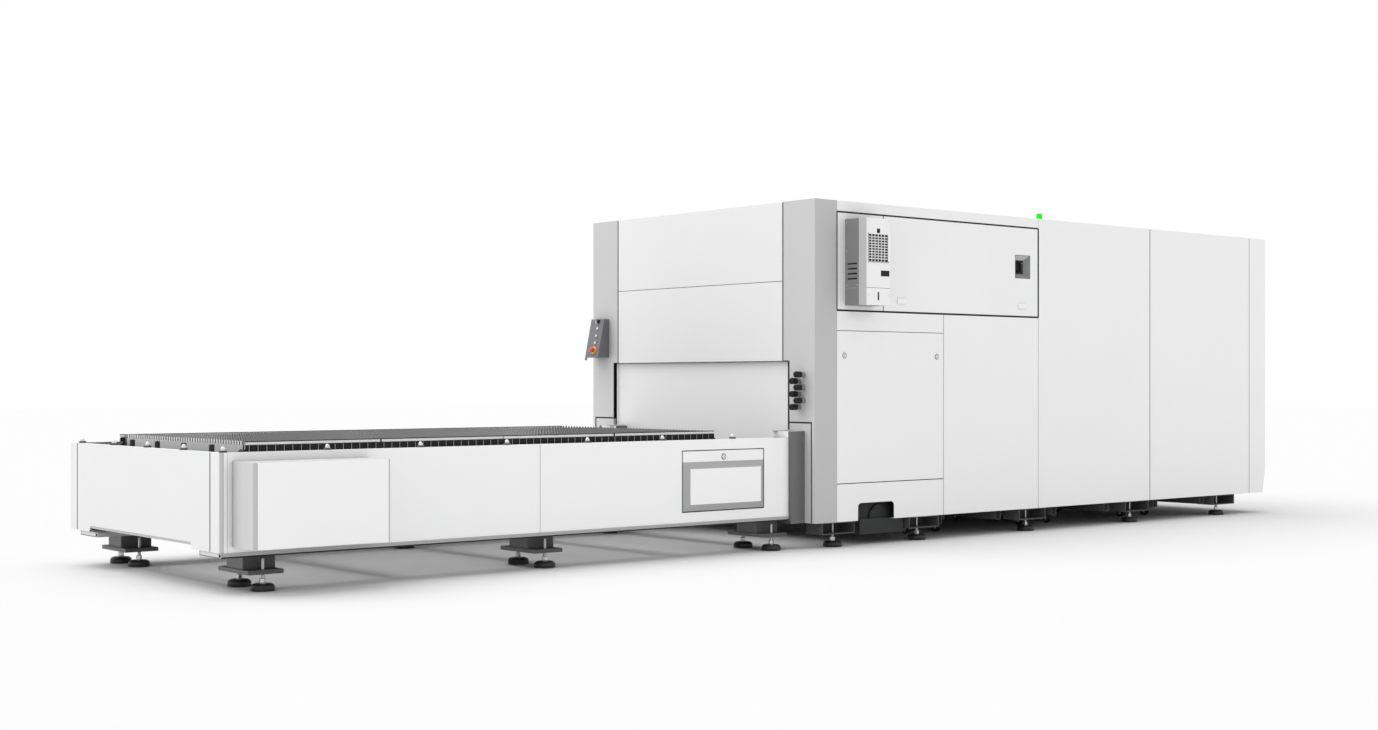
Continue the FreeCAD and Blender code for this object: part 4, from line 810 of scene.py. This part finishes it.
def controlBox():
    dress("control_box", [boxGrey], 0.002)
    dress("control_plate", [plateGrey, stopYellow], 0.0012, pick=plateShade)
    bezel = [(0.0152, -0.001), (0.0152, 0.0008), (0.0142, 0.0022), (0.0118, 0.0026), (0.0114, 0.001)]
    cap = [(0.0105, -0.01), (0.0107, 0.003), (0.0104, 0.0052), (0.0085, 0.0061), (0.002, 0.0064)]
    bezels = bmesh.new()
    for name, drop in panel["drops"].items():
        place, outward = onPanel(drop, panel["front"])
        turnInto(bezels, bezel, 40, place, outward)
        work = bmesh.new()
        turnInto(work, cap, 40, place, outward)
        showNode(name + "_button", "_turned", work, [buttonWhite])
    showWork("button_bezels", bezels, [buttonPink], "machine", (), "dark_paint")
    place, outward = onPanel(panel["stopDrop"], panel["front"])
    work = bmesh.new()
    mushroom = [(0.0055, -0.015), (0.0055, 0.012), (0.012, 0.0145), (0.0185, 0.0165), (0.0200, 0.0200),
                (0.0200, 0.0255), (0.0185, 0.0295), (0.014, 0.0322), (0.007, 0.0334), (0.001, 0.0337)]
    turnInto(work, mushroom, 48, place, outward)
    showWork("stop_mushroom", work, [stopRed], "stop_button", ("stop_button",), "red_plastic")
    place, outward = onPanel(panel["keyDrop"], panel["front"])
    work = bmesh.new()
    turnInto(work, [(0.013, 0), (0.013, 0.009), (0.0118, 0.0135), (0.004, 0.014)], 40, place, outward)
    tilt = Matrix.Rotation(math.radians(-panel["slope"]), 4, "Y")
    lever = bmesh.new()
    boxInto(lever, (-0.029, -0.004, -0.012), (-0.012, 0.004, 0.012), 0.0015)
    addInto(work, lever, 1, Matrix.Translation(place) @ tilt)
    showWork("key_turned", work, [softBlack, brightSteel], "key_switch", ("key_switch",), "bright_metal")


controlBox()
print("control box ready")


# cable glands, signal lamp
glandSet = {"top": 1096, "columns": (100, 139), "pitch": 41, "count": 6, "ribs": 6, "ribLow": 0.0325,
            "ribPitch": 0.0062}


def glands():
    nut = turned([(0.0175, 0.0), (0.0175, 0.0265), (0.0160, 0.028), (0.0150, 0.029)], 28)
    body = [(0.0165, 0.0275), (0.0192, 0.0290), (0.0198, 0.0310)]
    for rib in range(glandSet["ribs"]):
        low = glandSet["ribLow"] + rib * glandSet["ribPitch"]
        body += [(0.0198, low), (0.0198, low + 0.0042), (0.0188, low + 0.0047), (0.0188, low + 0.0058)]
    body += [(0.0196, 0.0705), (0.0185, 0.0735), (0.0155, 0.0756), (0.0090, 0.0760), (0.0062, 0.0752),
             (0.0058, 0.068)]
    places = [at(0, glandSet["columns"][number % 2], glandSet["top"] - glandSet["pitch"] * number)
              for number in range(glandSet["count"])]
    turn = Vector((-1, 0, 0)).to_track_quat("Z", "Y").to_euler()
    meshes = [spots("glands", turned(body, 28), places, softBlack, turn=turn),
              spots("glandNuts", nut, places, coolerGrey, turn=turn)]
    show("cable_glands_ribbed", joined("glandSet", meshes), "machine", ("cable_glands",), "black_plastic")


glands()

lampSet = {"place": (2443, 200, 2178), "rings": 9, "ringLow": 0.025, "ringPitch": 0.0065}


def signalLamp():
    base = at(*lampSet["place"])
    work = bmesh.new()
    turnInto(work, [(0.026, 0), (0.026, 0.012), (0.0245, 0.020), (0.0225, 0.022)], 40, base, (0, 0, 1))
    lens = [(0.0215, 0.0215)]
    for step in range(lampSet["rings"]):
        height = lampSet["ringLow"] + step * lampSet["ringPitch"]
        lens += [(0.0217, height), (0.0211, height + 0.003)]
    lens += [(0.0215, 0.083), (0.019, 0.0868), (0.012, 0.0879), (0.002, 0.0880)]
    turnInto(work, lens, 40, base, (0, 0, 1), 1)
    showWork("signal_lamp_turned", work, [softBlack, glowGreen], "machine", ("signal_lamp",), "green_plastic")


signalLamp()
print("lamp ready")


# operator door's pane, inner machine
def bedShade(middle, normal):
    # the pedestal is darker than the bed
    return 1 if middle.z < 0.3 else 0


dress("door_window", [paneGreen], 0.002)
dress("machine_bed", [frameGrey, frameBlack], 0.002, pick=bedShade)
dress("guide_rails", [railSteel])
dress("gantry_beam", [pillarGrey], 0.003)
dress("head_carriage", [frameGrey], 0.003)
dress("laser_source", [shellGrey], 0.003)


def cuttingHead():
    low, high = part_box("cutting_head")
    middle = (Vector(low) + Vector(high)) / 2
    base = Vector((middle.x, middle.y, low[2]))
    tall = high[2] - low[2]
    work = bmesh.new()
    profile = [(0.0015, 0.0), (0.004, 0.001), (0.014, 0.022), (0.014, 0.04), (0.022, 0.044), (0.022, 0.078),
               (0.034, 0.084), (0.034, 0.108), (0.048, 0.112), (0.048, 0.330), (0.044, 0.338), (0.033, 0.341),
               (0.033, tall - 0.01), (0.028, tall)]
    turnInto(work, profile, 40, base, (0, 0, 1))
    showWork("cutting_head_turned", work, [railSteel], "head", ("cutting_head",), "steel")


cuttingHead()
print("inner machine ready")


# feet: pads, threaded studs and nuts
footSet = {"studRadius": 0.0098, "core": 0.9, "thread": 0.0026, "shortest": 0.08, "hidden": 0.07,
           "nutHeight": 0.0405}


def studShape(length):
    # thread grooves as shallow rings
    radius, pitch = footSet["studRadius"], footSet["thread"]
    core = radius * footSet["core"]
    profile = [(core, 0.0)]
    height = 0.0
    while height + pitch < length - 0.003:
        profile += [(radius, height + pitch * 0.35), (radius, height + pitch * 0.6), (core, height + pitch * 0.95)]
        height += pitch
    profile += [(radius, length - 0.002), (radius * 0.8, length)]
    return turned(profile, 14)


def feet():
    places = [footOf(low, high, 0) for low, high in islandBoxes("foot_pads")]
    profile = [(0.055, 0.0), (0.0595, 0.001), (0.0607, 0.004), (0.0605, 0.0085), (0.0588, 0.0100), (0.0588, 0.0112),
               (0.0603, 0.0125), (0.0598, 0.020), (0.0575, 0.0265), (0.0530, 0.0318), (0.0465, 0.0352),
               (0.038, 0.0372), (0.026, 0.038), (0.012, 0.0378)]
    mesh = spots("pads", turned(profile, 40), places, padRubber, spin=fullTurn, seed=4)
    show("foot_pads_moulded", mesh, "machine", ("foot_pads",), "black_plastic")

    studs = islandBoxes("foot_studs")
    byLength = {}
    for low, high in studs:
        byLength.setdefault(round(high.z - low.z, 3), []).append(footOf(low, high, low.z))
    meshes = []
    for length, group in byLength.items():
        # the short studs go on up into the open stations
        full = length if length > footSet["shortest"] else length + footSet["hidden"]
        meshes.append(spots("studs", studShape(full), group, brightSteel, spin=fullTurn, seed=7))
    nut = bmesh.new()
    addInto(nut, turned([(0.013, 0.0), (0.0165, 0.0012), (0.0165, 0.0205), (0.0135, 0.0220)], 6))
    addInto(nut, turned([(0.020, -0.0025), (0.020, -0.0003), (0.012, -0.0001)], 24))
    nutPlaces = [footOf(low, high, footSet["nutHeight"]) for low, high in studs]
    meshes.append(spots("nuts", nut, nutPlaces, brightSteel, spin=fullTurn, seed=9))
    show("foot_studs_threaded", joined("footStuds", meshes), "machine", ("foot_studs",), "bright_metal")


feet()
print("feet ready")


# frames under the hall and the table
rails = {"start": -3920, "end": -117, "near": 111, "span": 244, "far": 1676, "low": 183, "high": 208,
         "wall": 8, "foot": 5, "return": 18}


def tableFrameShade(middle, normal):
    # brackets above the rails are dark; the rails' ends are painted lighter than their sides as painted light
    if middle.z > (rails["high"] + 2) / 1000:
        return 2
    return litEndFaces(middle, normal)


def railTrim():
    # open ends of the rails with their walls, the ends painted lighter as painted light, and the dark lower edge of
    # the near rail, a strip of painted shade
    work = bmesh.new()
    start, low, high, wall, foot = (rails[key] for key in ("start", "low", "high", "wall", "foot"))
    for near in (rails["near"], rails["far"]):
        far, middle = near + rails["span"], near + rails["return"]
        boxInto(work, at(start - 0.8, middle + wall, low + foot), at(start + 1, far - wall, high - foot), 0.0005)
        for left, right, top in ((middle, middle + wall, high), (far - wall, far, high),
                                 (middle + wall, far - wall, low + foot)):
            boxInto(work, at(start - 0.6, left, low), at(start + 0.5, right, top), 0.0005, 1)
    near = rails["near"]
    boxInto(work, at(start + 1, near - 0.8, low - 0.5), at(rails["end"], near + 0.5, low + 7), 0.0004, 2)
    showWork("rail_trim", work, [pillarEnd, bracketGrey, shadeAndSealBlack], "machine", (), "grey_paint")


def guardShade(middle, normal):
    # pale guide plates on top
    return 1 if middle.z > guardTop else 0


guardTop = 0.7395
dress("base_frame", [frameGrey])
# end faces of the brackets take the lighter grey as painted light
dress("table_brackets", [frameGrey, bracketGrey], 0.002, pick=litEndFaces)
dress("table_frame", [railGrey, cornerGrey, bracketGrey], pick=tableFrameShade)
railTrim()
dress("transition_guards", [guardGrey, pillarEnd], pick=guardShade)


# ball transfer units
ballSet = {"ball": 0.66, "neck": 0.0075, "steps": 9, "from": -5, "by": 11.5}


def ballUnits():
    boxes = islandBoxes("ball_units")
    places = [footOf(low, high, low.z) for low, high in boxes]
    low, high = boxes[0]
    tall, reach = high.z - low.z, (high.x - low.x) / 2
    neck, ball = ballSet["neck"], reach * ballSet["ball"]
    profile = [(reach, 0.0), (reach, 0.003), (reach - 0.001, 0.0045), (reach * 0.72, 0.006), (reach * 0.70, 0.0045)]
    for step in range(ballSet["steps"]):
        angle = math.radians(ballSet["from"] + step * ballSet["by"])
        profile.append((max(ball * math.cos(angle), 0.0004), neck + (tall - neck) * math.sin(max(angle, 0))))
    collar = [(reach, 0.0), (reach + 0.0004, 0.003), (reach, neck), (reach * 0.75, 0.0105), (reach * 0.6, 0.0120)]
    meshes = [spots("balls", turned(profile, 28), places, brightSteel, spin=fullTurn, seed=3),
              spots("collars", turned(collar, 28), places, frameGrey)]
    show("ball_units_turned", joined("ballUnits", meshes), "machine", ("ball_units",), "bright_metal")


ballUnits()
dress("pallet_buffers", [padRubber], 0.002)
print("table ready")


# pallets: frame, slotted comb and toothed slats
palletSet = {"near": 285, "far": 1885, "length": 3196, "low": 676, "tip": 750, "edgeInset": 37,
             "stripLow": 730.5, "combLow": 671, "endLow": 600, "seams": (812, 2378), "seamWidth": 9,
             "slotPitch": 48.5, "slotWidth": 3.4, "slotLow": 689, "slotInset": 22, "slotSpare": 40,
             "slats": 71, "slatInset": 64, "slatSide": 9, "teeth": 51, "toothDepth": 20, "thickness": 2.6,
             "combInset": 54, "combSide": 70, "combHalf": 5}
palletMiddle = (palletSet["near"] + palletSet["far"]) / 2
slatMiddle = 1068.5


def slatShape():
    near, far = palletSet["near"] + palletSet["slatSide"], palletSet["far"] - palletSet["slatSide"]
    step = (far - near) / palletSet["teeth"]
    half = palletSet["thickness"] / 2000
    tall = palletSet["tip"] - palletSet["low"]
    valley = tall - palletSet["toothDepth"]
    outline = [(near, 0), (far, 0)]
    for tooth in range(palletSet["teeth"]):
        start = far - step * tooth
        outline += [(start, valley), (start - step * 0.42, tall), (start - step * 0.58, tall)]
    outline.append((near, valley))
    work = bmesh.new()
    left, right = ([work.verts.new((x, (y - slatMiddle) / 1000, z / 1000)) for y, z in outline] for x in (-half, half))
    work.faces.new(left)
    work.faces.new(list(reversed(right)))
    for number in range(len(outline)):
        after = (number + 1) % len(outline)
        work.faces.new((left[after], left[number], right[number], right[after]))
    bmesh.ops.recalc_face_normals(work, faces=work.faces[:])
    return work


def slotShape():
    slot = bmesh.new()
    half = palletSet["slotWidth"] / 2000
    boxInto(slot, (-half, -0.0006, 0.0), (half, 0.0006, 0.038), 0.0003)
    return slot


def combInto(work, start, drop):
    # toothed sheet at the pallet's end, the dark edge along each side and the seams across the pale strips
    near, far, side = palletSet["near"], palletSet["far"], palletSet["combSide"]
    x, inset = start + palletSet["combInset"], palletSet["edgeInset"]
    boxInto(work, at(x, near + side - 6, 672 - drop), at(x + 2.4, far - side + 6, 729 - drop), 0.0004)
    teeth = palletSet["teeth"] - 4
    for tooth in range(teeth):
        y = near + side + (far - near - 2 * side) * (tooth + 0.5) / teeth
        boxInto(work, at(x, y - palletSet["combHalf"], 728 - drop),
                at(x + 2.2, y + palletSet["combHalf"], 749.5 - drop), 0.0003, 1)
    for low, high in ((near + 1, near + 5), (far - 5, far - 1)):
        boxInto(work, at(start + inset, low, 743.5 - drop),
                at(start + palletSet["length"] - inset, high, 749 - drop), 0, 2)
    for seam in palletSet["seams"]:
        for face in (near - 0.5, far - 0.5):
            boxInto(work, at(start + seam, face, 727.5 - drop),
                    at(start + seam + palletSet["seamWidth"], face + 1, 745 - drop), 0, 2)


def pallet(side, start, drop):
    frameNode, slatNode = side + "_pallet_frame", side + "_pallet_slats"

    def pick(middle, normal):
        height = middle.z * 1000 + drop
        if normal.x < -0.9 and height > palletSet["endLow"]:
            return 3
        if abs((middle - at(0, palletMiddle, 0)).y) <= 0.78:
            return 0
        if height > palletSet["stripLow"]:
            return 1
        return 2 if height > palletSet["combLow"] else 0

    dress(frameNode, [frameBlack, stripWhite, softBlack, pillarEnd], 0.0012, pick)
    pitch = palletSet["slotPitch"]
    first = start + palletSet["edgeInset"]
    count = int((palletSet["length"] - 2 * palletSet["edgeInset"] - palletSet["slotSpare"]) / pitch) + 1
    meshes = [row("slots", slotShape(), count, at(first + palletSet["slotInset"], y, palletSet["slotLow"] - drop),
                  (pitch / 1000, 0, 0), railGrey) for y in (palletSet["near"], palletSet["far"])]
    work = bmesh.new()
    combInto(work, start, drop)
    meshes.append(settle(toMesh("endComb", work, [pillarEnd, stripWhite, softBlack])))
    show(side + "_pallet_slots", joined("palletSlots", meshes), bodyOf[frameNode], (), "steel")
    pitch = (palletSet["length"] - 2 * palletSet["slatInset"]) / (palletSet["slats"] - 1)
    first = at(start + palletSet["slatInset"], slatMiddle, palletSet["low"] - drop)
    mesh = row("slats", slatShape(), palletSet["slats"], first, (pitch / 1000, 0, 0), slatSteel, lean=0.006, seed=5)
    show(side + "_pallet_slats_toothed", mesh, bodyOf[slatNode], (slatNode,), "steel")


pallet("upper", -3745, 0)
pallet("lower", 458, 190)
print("pallets ready")


# scrap trays on wheels
wheelSet = {"radius": 0.038, "axle": 0.0075, "inset": 0.036}


def wheelPair(number, side):
    node = "tray_wheels_%d_%s" % (number, side)
    low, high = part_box(node)
    middle = (Vector(low) + Vector(high)) / 2
    radius, axle = wheelSet["radius"], wheelSet["axle"]
    work = bmesh.new()
    length = high[0] - low[0]
    turnInto(work, [(axle, -length / 2), (axle, length / 2)], 20, middle, (1, 0, 0), 1)
    rim = [(0.016, 0.0125), (radius - 0.008, 0.0125), (radius - 0.0035, 0.0115), (radius - 0.0006, 0.0075),
           (radius, 0.003)]
    tyre = [(reach, -along) for reach, along in rim] + rim[::-1]
    hub = [(0.008, -0.0128), (0.0158, -0.0128), (0.0158, 0.0128), (0.008, 0.0128)]
    for way in (-1, 1):
        x = middle.x + way * (length / 2 - wheelSet["inset"])
        turnInto(work, tyre, 40, (x, middle.y, middle.z), (1, 0, 0))
        turnInto(work, hub, 24, (x, middle.y, middle.z), (1, 0, 0), 1)
    showNode(node, "_turned", work, [padRubber, railSteel])


for number in (1, 2, 3):
    dress("scrap_tray_%d" % number, [frameGrey], 0.0012)
    for side in ("front", "rear"):
        wheelPair(number, side)
print("trays ready")
